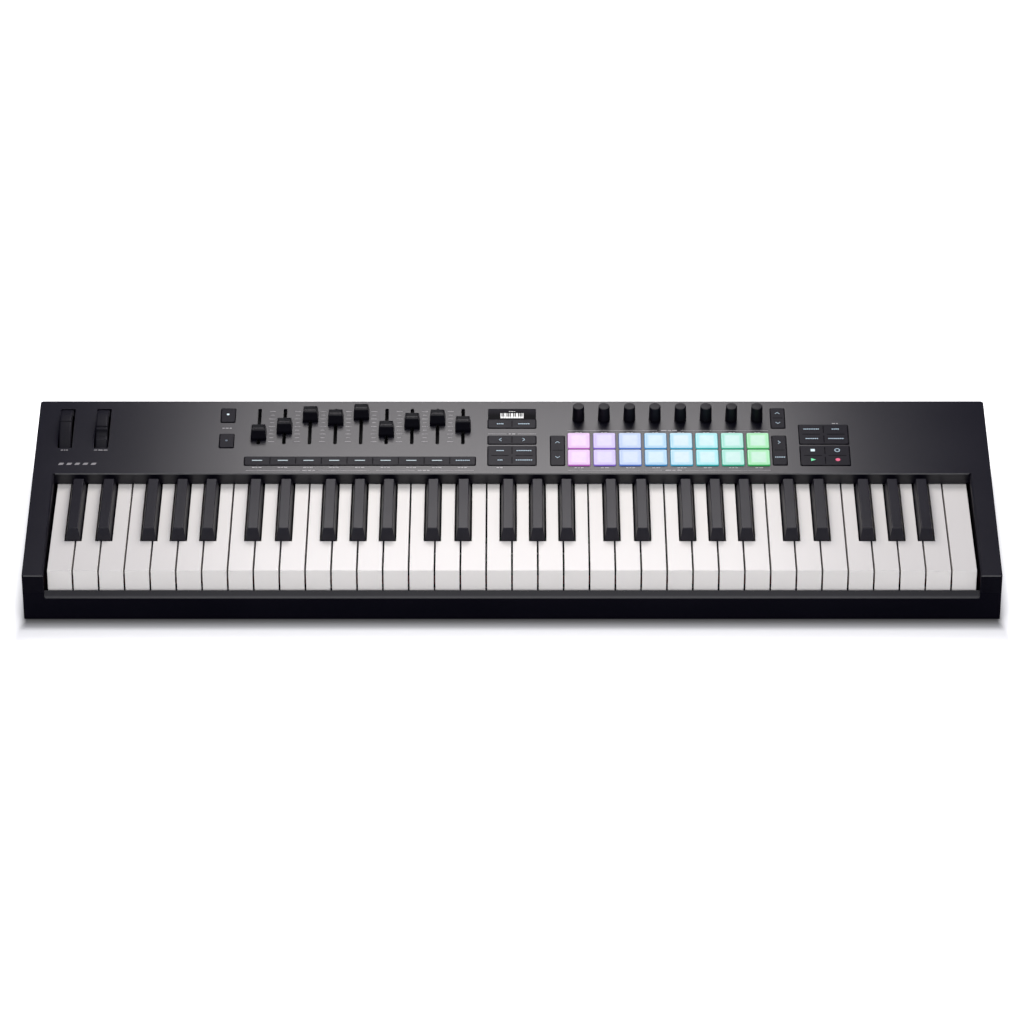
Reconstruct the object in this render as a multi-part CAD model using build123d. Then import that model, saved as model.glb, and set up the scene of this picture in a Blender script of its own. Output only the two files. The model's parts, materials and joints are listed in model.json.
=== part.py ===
"""Keyboard synthesizer controller with 61 keys, built as separate parts that fit together.

Units are millimetres. X runs along the keyboard, bass on the left. Y runs from the player to the rear.
Z is up. The origin is on the table under the middle of the instrument.
"""
import math
import os

from build123d import *

os.makedirs("parts", exist_ok=True)

# ---------------------------------------------------------------- driving dimensions
CASE_WIDTH = 895.0
CASE_DEPTH = 258.5
WALL = 2.5
FOOT_HEIGHT = 3.5
CHEEK_FRONT_TOP = 51.5
PANEL_TILT = 5.0
PANEL_FRONT_Y = 19.05
KEY_SLOT_WIDTH = 855.5
RAIL_INNER_Y = -123.1
RAIL_FRONT_TOP = 27.0
RAIL_INNER_TOP = 31.3
KEY_WALL_BOTTOM = 53.4
EDGE_BEVEL = 0.7
CHEEK_BEVEL = 1.5

WHITE_KEYS = 36
WHITE_PITCH = 23.625
WHITE_GAP = 1.4
WHITE_TOP = 52.36
WHITE_FRONT_Y = -122.2
WHITE_LIP_BOTTOM = 22.0
KEY_UNDERSIDE = 38.4
KEY_REAR_Y = 51.0
KEY_PLATE = 2.2
KEY_SKIN = 1.7

BLACK_CUTOUT_WIDTH = 15.2
BLACK_CUTOUT_Y = -74.25
BLACK_BASE_WIDTH = 13.6
BLACK_TOP_WIDTH = 9.3
BLACK_HEIGHT = 11.3
BLACK_FRONT_Y = -73.45
BLACK_TOP_FRONT_Y = -69.0
BLACK_TOP_REAR_Y = 12.2
BLACK_BASE_REAR_Y = 14.4
BLACK_NECK_WIDTH = 9.0
# the sharps sit off the middle of the gap between their two neighbours
BLACK_OFFSETS = {0: -2.45, 1: 2.2, 3: -3.55, 4: 0.0, 5: 3.45}

PIVOT_Y = 48.0
PIVOT_Z = 36.0
PIVOT_RADIUS = 3.0
RUNNING_GAP = 0.3
CONTACT_Y = -42.0
CONTACT_POST_BOTTOM = 31.8
STOP_FRONT_Y = -113.5
STOP_BOTTOM = 20.0
CHASSIS_BOTTOM = 16.0
CHASSIS_FLOOR = 19.0
DOME_SHEET = 1.2
DOME_HEIGHT = 4.2

WHEEL_RADIUS = 35.5
WHEEL_WIDTH = 11.0
WHEEL_RISE = 12.1
WHEEL_POSITION = 68.5
PITCH_WHEEL_X = -420.35
MOD_WHEEL_X = -386.2
WHEEL_SLOT = (13.6, 59.2)
AXLE_RADIUS = 3.0
# marks on the rims, in degrees from the panel normal, positive to the rear
PITCH_NOTCH = -7.4
MOD_NOTCH = -17.3
MOD_SCOOP = -31.0
MARK_RADIUS = 1.1
MARK_OFFSET = 0.6
SCOOP_RADIUS = 7.4
SCOOP_OFFSET = 5.5

COLUMN_PITCH = 24.06
FADER_FIRST_X = -238.7
FADER_COUNT = 9
FADER_SLOT = (3.5, 54.2)
FADER_SLOT_CENTRE = 71.4
# the cap is a skirt that narrows to a dished top, both as (width, length)
FADER_SKIRT = (14.25, 14.0)
FADER_TOP = (12.0, 6.8)
FADER_SKIRT_HEIGHT = 0.6
FADER_TOP_HEIGHT = 10.4
FADER_LEAN = 1.1
FADER_DISH_RADIUS = 10.0
FADER_DISH_DEPTH = 0.7
# how far up the panel each cap stands at rest
FADER_REST = [57.4, 67.4, 85.1, 80.2, 88.6, 62.8, 74.9, 80.0, 70.0]

KNOB_FIRST_X = 62.8
KNOB_COUNT = 8
KNOB_ROW = 82.4
KNOB_BASE_DIAMETER = 11.5
KNOB_TOP_DIAMETER = 10.5
KNOB_HEIGHT = 15.8

PAD_SIZE = (20.8, 22.9)
PAD_ROWS = {"upper": 48.5, "lower": 23.3}
PAD_RISE = 1.6
PAD_BOTTOM = -6.0

BUTTON_RISE = 0.7
BLOCK_CORNER = 1.5
GROOVE_WIDTH = 0.8
GROOVE_DEPTH = 0.5
BUTTON_BOTTOM = -4.6
FLANGE_TOP = -2.8
FLANGE_GROWTH = 0.9
BOARD_TOP = -9.5
BOARD_THICKNESS = 1.6

# button blocks as (left, right, near edge, far edge, columns, rows), measured along the panel
OCTAVE_BLOCKS = [(-275.2, -261.7, 38.6, 59.7, 1, 1), (-275.2, -261.7, 77.2, 98.5, 1, 1)]
FADER_BUTTON_BLOCKS = [(-250.7, -34.2, 12.3, 25.2, 9, 1)]
SCREEN_BLOCKS = [
    (-22.7, 22.7, 68.2, 81.6, 2, 1),
    (-22.7, 22.7, 44.0, 56.9, 2, 1),
    (-22.7, 22.7, 12.1, 41.2, 2, 2),
]
SIDE_BLOCKS = [
    (36.1, 49.4, 12.1, 56.9, 1, 2),
    (244.5, 257.8, 68.2, 98.7, 1, 2),
    (244.5, 257.8, 12.6, 57.0, 1, 2),
]
TRANSPORT_BLOCKS = [(270.4, 316.8, 44.0, 73.5, 2, 2), (270.4, 316.8, 12.0, 41.3, 2, 2)]
BUTTON_BLOCKS = OCTAVE_BLOCKS + FADER_BUTTON_BLOCKS + SCREEN_BLOCKS + SIDE_BLOCKS + TRANSPORT_BLOCKS
DISPLAY_BLOCK = (-22.7, 22.7, 81.6, 98.4)
DISPLAY_GAP = 0.15

PANEL_POSTS = [(-282, 28), (-282, 90), (-29, 35), (-29, 90), (29.5, 35), (29.5, 90)]
PANEL_POSTS += [(264, 35), (264, 90), (321.5, 28)]
CASE_SCREWS = [(x, y) for x in (-437.5, 437.5) for y in (-105, 0, 105)]
CASE_SCREWS += [(-335, 122.2), (-10, 122.2), (262, 122.2), (310, 122.2)]
CHASSIS_LEGS = [(x, y) for x in (-400, -200, 0, 200, 400) for y in (-82, -12, 36)]
FEET = [(x, y) for x in (-395, 0, 395) for y in (-103, 100)]

SOCKET_PLATE = (325.0, 420.0, 6.3, 45.0)
JACK_X = 398.0
USB_X = 350.0
SOCKET_Z = 28.0
JACK_BORE_RADIUS = 3.2
SOCKET_DROP = 7.4
SOCKET_LEGS = [(337, 100), (408, 100)]

# ---------------------------------------------------------------- frame and helpers
HALF_W = CASE_WIDTH / 2
FRONT = -CASE_DEPTH / 2
REAR = CASE_DEPTH / 2
SLOPE = math.tan(math.radians(PANEL_TILT))
SIN_TILT = math.sin(math.radians(PANEL_TILT))
COS_TILT = math.cos(math.radians(PANEL_TILT))
PANEL_FRONT_Z = CHEEK_FRONT_TOP + (PANEL_FRONT_Y - FRONT) * SLOPE
REAR_TOP = CHEEK_FRONT_TOP + CASE_DEPTH * SLOPE
WHEEL_DEPTH = WHEEL_RADIUS - WHEEL_RISE
FLOOR_TOP = FOOT_HEIGHT + WALL


def panel_plane(height=0.0):
    """Plane parallel to the control panel, its local Y running up the slope."""
    origin = (0, PANEL_FRONT_Y - height * SIN_TILT, PANEL_FRONT_Z + height * COS_TILT)
    return Plane(origin=origin, x_dir=(1, 0, 0), z_dir=(0, -SIN_TILT, COS_TILT))


def panel_point(x, p, height=0.0):
    """Point on the panel in instrument coordinates."""
    y = PANEL_FRONT_Y + p * COS_TILT - height * SIN_TILT
    z = PANEL_FRONT_Z + p * SIN_TILT + height * COS_TILT
    return Vector(x, y, z)


def box(x0, x1, y0, y1, z0, z1):
    """Box between two opposite corners."""
    size = Box(x1 - x0, y1 - y0, z1 - z0)
    return Pos((x0 + x1) / 2, (y0 + y1) / 2, (z0 + z1) / 2) * size


def panel_box(x0, x1, p0, p1, low, high, corner=0.0):
    """Box lying on the panel between two heights above its surface."""
    width = x1 - x0
    depth = p1 - p0
    outline = RectangleRounded(width, depth, corner) if corner > 0 else Rectangle(width, depth)
    face = panel_plane(low) * Pos((x0 + x1) / 2, (p0 + p1) / 2) * outline
    return extrude(face, amount=high - low, dir=(0, -SIN_TILT, COS_TILT))


def side_profile(points, x0, x1):
    """Solid with a constant side view, running from x0 to x1."""
    face = Plane.YZ.offset(x0) * make_face(Polyline(*points, close=True))
    return extrude(face, amount=x1 - x0, dir=(1, 0, 0))


def x_cylinder(radius, x0, x1, y, z):
    """Cylinder whose axis runs along the keyboard."""
    return Pos((x0 + x1) / 2, y, z) * Rot(0, 90, 0) * Cylinder(radius, x1 - x0)


def y_cylinder(radius, y0, y1, x, z):
    """Cylinder whose axis runs from front to rear."""
    return Pos(x, (y0 + y1) / 2, z) * Rot(90, 0, 0) * Cylinder(radius, y1 - y0)


def z_cylinder(radius, z0, z1, x, y):
    """Upright cylinder."""
    return Pos(x, y, (z0 + z1) / 2) * Cylinder(radius, z1 - z0)


def save(name, solids):
    """Write one node as a STEP file holding its separate solids."""
    items = []
    for solid in solids:
        items.extend(solid.solids())
    shape = items[0] if len(items) == 1 else Compound(children=items)
    shape.label = name
    export_step(shape, f"parts/{name}.step")


def cells(block):
    """Centres of the keys in a button block, row by row."""
    left, right, near, far, columns, rows = block
    step_x = (right - left) / columns
    step_p = (far - near) / rows
    return [
        (left + (column + 0.5) * step_x, near + (row + 0.5) * step_p)
        for row in range(rows)
        for column in range(columns)
    ]


def button_mat(block):
    """Soft key mat filling one block: a flange below the panel and grooves between its keys."""
    left, right, near, far, columns, rows = block
    gap = RUNNING_GAP
    grow = FLANGE_GROWTH
    mat = panel_box(left + gap, right - gap, near + gap, far - gap, BUTTON_BOTTOM, BUTTON_RISE, BLOCK_CORNER)
    mat = fillet(mat.faces().sort_by(Axis.Z)[-1].edges(), 0.35)
    mat += panel_box(left - grow, right + grow, near - grow, far + grow,
                     BUTTON_BOTTOM, FLANGE_TOP, BLOCK_CORNER)
    step_x = (right - left) / columns
    step_p = (far - near) / rows
    half = GROOVE_WIDTH / 2
    floor = BUTTON_RISE - GROOVE_DEPTH
    for column in range(1, columns):
        x = left + column * step_x
        for row in range(rows):
            p0 = near + row * step_p + step_p * 0.14
            mat -= panel_box(x - half, x + half, p0, p0 + step_p * 0.72, floor, BUTTON_RISE + 1)
    for row in range(1, rows):
        p = near + row * step_p
        for column in range(columns):
            x0 = left + column * step_x + step_x * 0.14
            mat -= panel_box(x0, x0 + step_x * 0.72, p - half, p + half, floor, BUTTON_RISE + 1)
    return mat


# ---------------------------------------------------------------- keys
def white_edges(index):
    """Left and right edges of a white key."""
    left = (index - WHITE_KEYS / 2) * WHITE_PITCH + WHITE_GAP / 2
    return left, left + WHITE_PITCH - WHITE_GAP


def black_centre(index):
    """Middle of the sharp that follows a white key, or None when there is none."""
    offset = BLACK_OFFSETS.get(index % 7)
    if offset is None or index >= WHITE_KEYS - 1:
        return None
    return (index + 1 - WHITE_KEYS / 2) * WHITE_PITCH + offset


def rear_edges(index):
    """Left and right edges of a white key's narrow rear part, beside the sharps."""
    left, right = white_edges(index)
    half_cut = BLACK_CUTOUT_WIDTH / 2
    before = black_centre(index - 1) if index > 0 else None
    after = black_centre(index)
    rear_left = left if before is None else before + half_cut
    rear_right = right if after is None else after - half_cut
    return rear_left, rear_right


def key_fittings(x, stop):
    """Pivot bead, contact post and, on white keys, the stop hook under one key."""
    parts = [
        x_cylinder(PIVOT_RADIUS, x - 4, x + 4, PIVOT_Y, PIVOT_Z),
        box(x - 4, x + 4, PIVOT_Y - 2, PIVOT_Y + 2, PIVOT_Z, WHITE_TOP - 1),
        box(x - 2.5, x + 2.5, CONTACT_Y - 5, CONTACT_Y + 5, CONTACT_POST_BOTTOM, WHITE_TOP - 1),
    ]
    if stop:
        parts.append(box(x - 3, x + 3, STOP_FRONT_Y, STOP_FRONT_Y + 2, STOP_BOTTOM, WHITE_TOP - 1))
        parts.append(box(x - 3, x + 3, STOP_FRONT_Y, STOP_FRONT_Y + 11.5, STOP_BOTTOM, STOP_BOTTOM + 2))
    return parts


def white_key(index):
    """One white key: hollow moulding with a deep front lip and cut-outs for the sharps."""
    left, right = white_edges(index)
    rear_left, rear_right = rear_edges(index)
    outline = [
        (left, WHITE_FRONT_Y),
        (right, WHITE_FRONT_Y),
        (right, BLACK_CUTOUT_Y),
        (rear_right, BLACK_CUTOUT_Y),
        (rear_right, KEY_REAR_Y),
        (rear_left, KEY_REAR_Y),
        (rear_left, BLACK_CUTOUT_Y),
        (left, BLACK_CUTOUT_Y),
    ]
    corners = [point for i, point in enumerate(outline) if point != outline[i - 1]]
    plan = make_face(Polyline(*corners, close=True))
    body = extrude(Pos(0, 0, KEY_UNDERSIDE) * plan, amount=WHITE_TOP - KEY_UNDERSIDE)
    body += box(left, right, WHITE_FRONT_Y, WHITE_FRONT_Y + 2, WHITE_LIP_BOTTOM, WHITE_TOP)
    body = fillet(body.faces().sort_by(Axis.Z)[-1].edges(), 0.5)
    roof = WHITE_TOP - KEY_PLATE
    skin = KEY_SKIN
    body -= box(left + skin, right - skin, WHITE_FRONT_Y + 2, BLACK_CUTOUT_Y - skin, KEY_UNDERSIDE, roof)
    body -= box(rear_left + skin, rear_right - skin, BLACK_CUTOUT_Y - skin, KEY_REAR_Y - 12,
                KEY_UNDERSIDE, roof)
    middle = (rear_left + rear_right) / 2
    for fitting in key_fittings(middle, True):
        body += fitting
    return body


def black_key(centre):
    """One sharp: tapered block with a sloping front on a narrower shank."""
    base_z = WHITE_TOP + 0.6
    top_z = WHITE_TOP + BLACK_HEIGHT
    half = BLACK_BASE_WIDTH / 2
    body = box(centre - half, centre + half, BLACK_FRONT_Y, BLACK_BASE_REAR_Y, KEY_UNDERSIDE, base_z)
    base_y = (BLACK_FRONT_Y + BLACK_BASE_REAR_Y) / 2
    top_y = (BLACK_TOP_FRONT_Y + BLACK_TOP_REAR_Y) / 2
    base = Pos(centre, base_y, base_z) * Rectangle(BLACK_BASE_WIDTH, BLACK_BASE_REAR_Y - BLACK_FRONT_Y)
    top = Pos(centre, top_y, top_z) * Rectangle(BLACK_TOP_WIDTH, BLACK_TOP_REAR_Y - BLACK_TOP_FRONT_Y)
    block = loft([base, top])
    block = fillet(block.faces().sort_by(Axis.Z)[-1].edges(), 0.6)
    body += block
    neck = BLACK_NECK_WIDTH / 2
    body += box(centre - neck, centre + neck, BLACK_BASE_REAR_Y - 1, KEY_REAR_Y,
                KEY_UNDERSIDE, WHITE_TOP - 0.4)
    body -= box(centre - 5, centre + 5, BLACK_FRONT_Y + 2, BLACK_BASE_REAR_Y - 2,
                KEY_UNDERSIDE, WHITE_TOP - 2)
    for fitting in key_fittings(centre, False):
        body += fitting
    return body


def make_keys():
    """Keys in sets that never touch each other: two sets of naturals and one of sharps per octave."""
    for octave in range(5):
        first = octave * 7
        save(f"keys_ceg_b_{octave + 1}", [white_key(first + step) for step in (0, 2, 4, 6)])
        save(f"keys_dfa_{octave + 1}", [white_key(first + step) for step in (1, 3, 5)])
        sharps = [black_key(black_centre(first + step)) for step in BLACK_OFFSETS]
        save(f"keys_sharps_{octave + 1}", sharps)
    save("key_top_c", [white_key(WHITE_KEYS - 1)])


# ---------------------------------------------------------------- case
def slot_bevels(half_slot):
    """Cutters that bevel the cheeks' inner edges, along the slope and down their front corners."""
    slope_top = Plane(origin=panel_point(0, EDGE_BEVEL), x_dir=(1, 0, 0), z_dir=(0, -COS_TILT, -SIN_TILT))
    length = (PANEL_FRONT_Y - FRONT) / COS_TILT + 2
    cutters = []
    for side in (-1, 1):
        edge = side * half_slot
        inward = edge - side
        outward = edge + side * (CHEEK_BEVEL + 1)
        along = [(inward, -CHEEK_BEVEL), (edge, -CHEEK_BEVEL), (outward, 1), (inward, 1)]
        cutters.append(extrude(slope_top * make_face(Polyline(*along, close=True)), amount=length))
        outward = edge + side * (EDGE_BEVEL + 1)
        inner_y = FRONT + EDGE_BEVEL
        corner = [(inward, FRONT - 1), (outward, FRONT - 1), (edge, inner_y), (inward, inner_y)]
        upright = Pos(0, 0, RAIL_FRONT_TOP - EDGE_BEVEL) * make_face(Polyline(*corner, close=True))
        cutters.append(extrude(upright, amount=CHEEK_FRONT_TOP, dir=(0, 0, 1)))
    return cutters


def make_top_case():
    """Upper shell: control panel, end cheeks, front rail and outer walls in one moulding."""
    half_slot = KEY_SLOT_WIDTH / 2
    outer = [(FRONT, FOOT_HEIGHT), (FRONT, CHEEK_FRONT_TOP), (REAR, REAR_TOP), (REAR, FOOT_HEIGHT)]
    shell = side_profile(outer, -HALF_W, HALF_W)
    shell = fillet(shell.edges().filter_by(Axis.Z).group_by(Axis.Y)[-1], 2.5)
    shell = fillet(shell.edges().filter_by(Axis.Z).group_by(Axis.Y)[0], 1.5)
    shell = chamfer(shell.faces().filter_by(lambda f: f.normal_at().Z > 0.9).edges(), EDGE_BEVEL)
    # the key slot, with a rail top that rises towards the keys and bevelled edges
    slot = [
        (FRONT - 1, RAIL_FRONT_TOP - EDGE_BEVEL),
        (FRONT, RAIL_FRONT_TOP - EDGE_BEVEL),
        (FRONT + EDGE_BEVEL, RAIL_FRONT_TOP),
        (RAIL_INNER_Y, RAIL_INNER_TOP),
        (PANEL_FRONT_Y, RAIL_INNER_TOP),
        (PANEL_FRONT_Y, PANEL_FRONT_Z - EDGE_BEVEL),
        (PANEL_FRONT_Y + EDGE_BEVEL + 1, PANEL_FRONT_Z + 1),
        (PANEL_FRONT_Y + EDGE_BEVEL + 1, 90),
        (FRONT - 1, 90),
    ]
    shell -= side_profile(slot, -half_slot, half_slot)
    shell -= slot_bevels(half_slot)
    shell -= box(-half_slot, half_slot, RAIL_INNER_Y, PANEL_FRONT_Y, 0, 90)

    def under_panel(y0, y1, x0, x1):
        """Hollow below the sloping top, open at the bottom."""
        z0 = CHEEK_FRONT_TOP + (y0 - FRONT) * SLOPE - WALL / COS_TILT
        z1 = CHEEK_FRONT_TOP + (y1 - FRONT) * SLOPE - WALL / COS_TILT
        return side_profile([(y0, 0), (y0, z0), (y1, z1), (y1, 0)], x0, x1)

    behind_wall = PANEL_FRONT_Y + WALL
    shell -= under_panel(behind_wall, REAR - WALL, -HALF_W + WALL, HALF_W - WALL)
    for side in (-1, 1):
        inner = side * (half_slot + WALL)
        edge = side * (HALF_W - WALL)
        shell -= under_panel(FRONT + WALL, behind_wall + 1, min(inner, edge), max(inner, edge))
        near = side * (half_slot - 1)
        tray_gap = FLOOR_TOP + RUNNING_GAP
        shell -= box(min(near, edge), max(near, edge), FRONT + WALL, behind_wall + 1, 0, tray_gap)
    shell -= box(-half_slot, half_slot, FRONT + WALL, RAIL_INNER_Y - WALL, 0, RAIL_FRONT_TOP - WALL)
    shell -= box(-half_slot, half_slot, PANEL_FRONT_Y - 1, behind_wall + 1, 0, KEY_WALL_BOTTOM)

    # openings in the panel
    cutters = []
    for block in BUTTON_BLOCKS:
        cutters.append(panel_box(*block[:4], -4, 4, BLOCK_CORNER))
    x0, x1, p0, p1 = DISPLAY_BLOCK
    cutters.append(panel_box(*DISPLAY_BLOCK, -4, 4, BLOCK_CORNER))
    cutters.append(panel_box(x0, x1, p0 - 3, p0 + 3, -4, 4))
    for column in range(KNOB_COUNT):
        x = KNOB_FIRST_X + column * COLUMN_PITCH
        cutters.append(panel_plane(-4) * Pos(x, KNOB_ROW, 4) * Cylinder(3.8, 8))
        for row in PAD_ROWS.values():
            half_x = PAD_SIZE[0] / 2 + RUNNING_GAP
            half_p = PAD_SIZE[1] / 2 + RUNNING_GAP
            cutters.append(panel_box(x - half_x, x + half_x, row - half_p, row + half_p, -4, 4, 1.6))
    for column in range(FADER_COUNT):
        x = FADER_FIRST_X + column * COLUMN_PITCH
        width, length = FADER_SLOT
        near = FADER_SLOT_CENTRE - length / 2
        far = FADER_SLOT_CENTRE + length / 2
        cutters.append(panel_box(x - width / 2, x + width / 2, near, far, -4, 4, width / 2 - 0.01))
    for x in (PITCH_WHEEL_X, MOD_WHEEL_X):
        half_x = WHEEL_SLOT[0] / 2
        half_p = WHEEL_SLOT[1] / 2
        centre = WHEEL_POSITION
        cutters.append(panel_box(x - half_x, x + half_x, centre - half_p, centre + half_p, -4, 4, 0.8))
    shell -= cutters

    # posts for the main board and bosses for the case screws
    for x, p in PANEL_POSTS:
        shell += panel_plane(BOARD_TOP) * Pos(x, p, (-BOARD_TOP - 1) / 2) * Cylinder(2.5, -BOARD_TOP - 1)
    for x, y in CASE_SCREWS:
        top = CHEEK_FRONT_TOP + (y - FRONT) * SLOPE - 1.5
        shell += z_cylinder(3.4, FLOOR_TOP + RUNNING_GAP, top, x, y)
        shell -= z_cylinder(1.55, FLOOR_TOP + RUNNING_GAP, 16, x, y)

    # notch for the socket plate, open at the bottom edge
    x0, x1, _, z1 = SOCKET_PLATE
    shell -= box(x0 - RUNNING_GAP, x1 + RUNNING_GAP, REAR - WALL - 1, REAR + 1, 0, z1 + RUNNING_GAP)
    save("top_case", [shell])


def make_bottom_case():
    """Floor tray that closes the shell from below and carries the key chassis."""
    clear = WALL + RUNNING_GAP
    tray = box(-HALF_W + clear, HALF_W - clear, FRONT + clear, REAR - clear, FOOT_HEIGHT, FLOOR_TOP)
    rail_x = KEY_SLOT_WIDTH / 2 + RUNNING_GAP
    tray -= box(-rail_x, rail_x, FRONT, RAIL_INNER_Y + RUNNING_GAP, FOOT_HEIGHT - 1, FLOOR_TOP + 1)
    for x, y in CASE_SCREWS:
        tray -= z_cylinder(1.8, 0, 10, x, y)
        tray -= z_cylinder(3.4, 0, FOOT_HEIGHT + 1.4, x, y)
    for x, y in CHASSIS_LEGS:
        tray += z_cylinder(4.5, FLOOR_TOP - 1, CHASSIS_BOTTOM, x, y)
    for x, y in SOCKET_LEGS:
        tray += z_cylinder(3.0, FLOOR_TOP - 1, SOCKET_Z - SOCKET_DROP - BOARD_THICKNESS, x, y)
    save("bottom_case", [tray])


def make_fixings():
    """Case screws and rubber feet."""
    screws = []
    for x, y in CASE_SCREWS:
        head = z_cylinder(3.0, FOOT_HEIGHT, FOOT_HEIGHT + 1.4, x, y)
        drive = Pos(x, y, FOOT_HEIGHT) * (Box(3.6, 0.8, 1.6) + Box(0.8, 3.6, 1.6))
        screws.append(head + z_cylinder(1.45, FOOT_HEIGHT + 1.4, 14.5, x, y) - drive)
    save("case_screws", screws)
    feet = []
    for x, y in FEET:
        foot = z_cylinder(9.0, 0, FOOT_HEIGHT, x, y)
        feet.append(fillet(foot.edges().group_by(Axis.Z)[0], 0.8))
    save("rubber_feet", feet)


# ---------------------------------------------------------------- key bed
def make_key_bed():
    """Moulded chassis with the pivot channel, stop felts, contact board and rubber domes."""
    end = KEY_SLOT_WIDTH / 2 - 1.2
    points = [
        (-98, CHASSIS_BOTTOM), (52.5, CHASSIS_BOTTOM), (52.5, PIVOT_Z), (43, PIVOT_Z),
        (43, CHASSIS_FLOOR), (-95, CHASSIS_FLOOR), (-95, 27), (-108, 27), (-108, 24), (-98, 24),
    ]
    chassis = side_profile(points, -end, end)
    chassis -= x_cylinder(PIVOT_RADIUS + RUNNING_GAP, -end - 1, end + 1, PIVOT_Y, PIVOT_Z)
    save("key_chassis", [chassis])
    upper = box(-end, end, -107, -99, 22.5, 24)
    lower = box(-end, end, -107, -96, 27, 29)
    save("key_felts", [upper, lower])
    dome_base = CHASSIS_FLOOR + BOARD_THICKNESS
    board = box(-end + 4, end - 4, CONTACT_Y - 20, CONTACT_Y + 20, CHASSIS_FLOOR, dome_base)
    save("key_contact_board", [board])
    sheet_top = dome_base + DOME_SHEET
    strip = box(-end + 6, end - 6, CONTACT_Y - 8, CONTACT_Y + 8, dome_base, sheet_top)
    dome_places = []
    for index in range(WHITE_KEYS):
        dome_places.append(sum(rear_edges(index)) / 2)
        sharp = black_centre(index)
        if sharp is not None:
            dome_places.append(sharp)
    for x in dome_places:
        strip += Pos(x, CONTACT_Y, sheet_top + DOME_HEIGHT / 2) * Cone(4.6, 2.6, DOME_HEIGHT)
    save("key_domes", [strip])


# ---------------------------------------------------------------- wheels
def make_wheels():
    """Pitch and modulation wheels and the bracket with their axles."""
    hub = panel_point(0, WHEEL_POSITION, -WHEEL_DEPTH)
    half = WHEEL_WIDTH / 2

    def blank(x):
        """Plain wheel with a thinner web and a running bore."""
        wheel = x_cylinder(WHEEL_RADIUS, x - half, x + half, hub.Y, hub.Z)
        wheel = fillet(wheel.edges(), 0.9)
        for side in (-1, 1):
            near = x + side * half
            deep = x + side * (half - 3.5)
            ring = x_cylinder(WHEEL_RADIUS - 6, min(near, deep), max(near, deep), hub.Y, hub.Z)
            ring -= x_cylinder(7.0, min(near, deep), max(near, deep), hub.Y, hub.Z)
            wheel -= ring
        return wheel - x_cylinder(AXLE_RADIUS + RUNNING_GAP, x - half - 1, x + half + 1, hub.Y, hub.Z)

    def rim_point(angle, radius):
        """Point at an angle from the panel normal, positive towards the rear."""
        turn = math.radians(angle - PANEL_TILT)
        return hub.Y + radius * math.sin(turn), hub.Z + radius * math.cos(turn)

    y, z = rim_point(PITCH_NOTCH, WHEEL_RADIUS + MARK_OFFSET)
    notch = x_cylinder(MARK_RADIUS, PITCH_WHEEL_X - half - 1, PITCH_WHEEL_X + half + 1, y, z)
    save("pitch_wheel", [blank(PITCH_WHEEL_X) - notch])
    y, z = rim_point(MOD_SCOOP, WHEEL_RADIUS + SCOOP_OFFSET)
    scoop = x_cylinder(SCOOP_RADIUS, MOD_WHEEL_X - half - 1, MOD_WHEEL_X + half + 1, y, z)
    y, z = rim_point(MOD_NOTCH, WHEEL_RADIUS + MARK_OFFSET)
    mark = x_cylinder(MARK_RADIUS, MOD_WHEEL_X - half - 1, MOD_WHEEL_X + half + 1, y, z)
    save("mod_wheel", [blank(MOD_WHEEL_X) - scoop - mark])

    plate_front = 49.0
    bracket = box(PITCH_WHEEL_X - 8.8, MOD_WHEEL_X + 8.8, plate_front, plate_front + 4, 55, 63)
    for x in (PITCH_WHEEL_X, MOD_WHEEL_X):
        for side in (-1, 1):
            x0 = x + side * 6.8
            x1 = x + side * 8.8
            bracket += box(min(x0, x1), max(x0, x1), plate_front, hub.Y + 9, 55, 80)
            bracket += box(min(x0, x1), max(x0, x1), hub.Y - 20, hub.Y + 9, hub.Z - 8, 80)
        bracket += x_cylinder(AXLE_RADIUS, x - 8.8, x + 8.8, hub.Y, hub.Z)
    bracket -= panel_box(-HALF_W, 0, -20, 130, -WALL, 40)
    save("wheel_bracket", [bracket])


# ---------------------------------------------------------------- controls
def make_faders():
    """Fader caps with their levers, and the slide units they run in."""
    bodies = []
    for column in range(FADER_COUNT):
        x = FADER_FIRST_X + column * COLUMN_PITCH
        centre = FADER_SLOT_CENTRE
        body = panel_box(x - 4.6, x + 4.6, centre - 31, centre + 31, BOARD_TOP, -2.9)
        body -= panel_box(x - 1.2, x + 1.2, centre - 25.5, centre + 25.5, -8.2, 0)
        bodies.append(body)
        rest = FADER_REST[column]
        # side view of the cap: straight skirt, sloping faces and a shallow dip for the fingertip
        near = rest - FADER_SKIRT[1] / 2
        far = rest + FADER_SKIRT[1] / 2
        base = panel_plane(FADER_SKIRT_HEIGHT) * Pos(x, rest) * Rectangle(*FADER_SKIRT)
        top = panel_plane(FADER_TOP_HEIGHT) * Pos(x, rest + FADER_LEAN) * Rectangle(*FADER_TOP)
        cap = loft([base, top])
        cap = fillet(cap.edges().filter_by(lambda e: abs(e.tangent_at(0.5).X) < 0.5), 0.6)
        dish_height = FADER_TOP_HEIGHT + FADER_DISH_RADIUS - FADER_DISH_DEPTH
        dish = panel_point(x, rest + FADER_LEAN, dish_height)
        cap -= x_cylinder(FADER_DISH_RADIUS, x - 10, x + 10, dish.Y, dish.Z)
        cap -= panel_box(x - 5.6, x + 5.6, near + 1.6, far - 1.6, 0, 5.0)
        lever = panel_box(x - 0.6, x + 0.6, rest - 2.0, rest + 2.0, -7.6, 6.0)
        sleeve = panel_box(x - 2.2, x + 2.2, rest - 3.5, rest + 3.5, 0.8, 5.4)
        save(f"fader_{column + 1}", [cap + sleeve + lever])
    save("fader_bodies", bodies)


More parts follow.
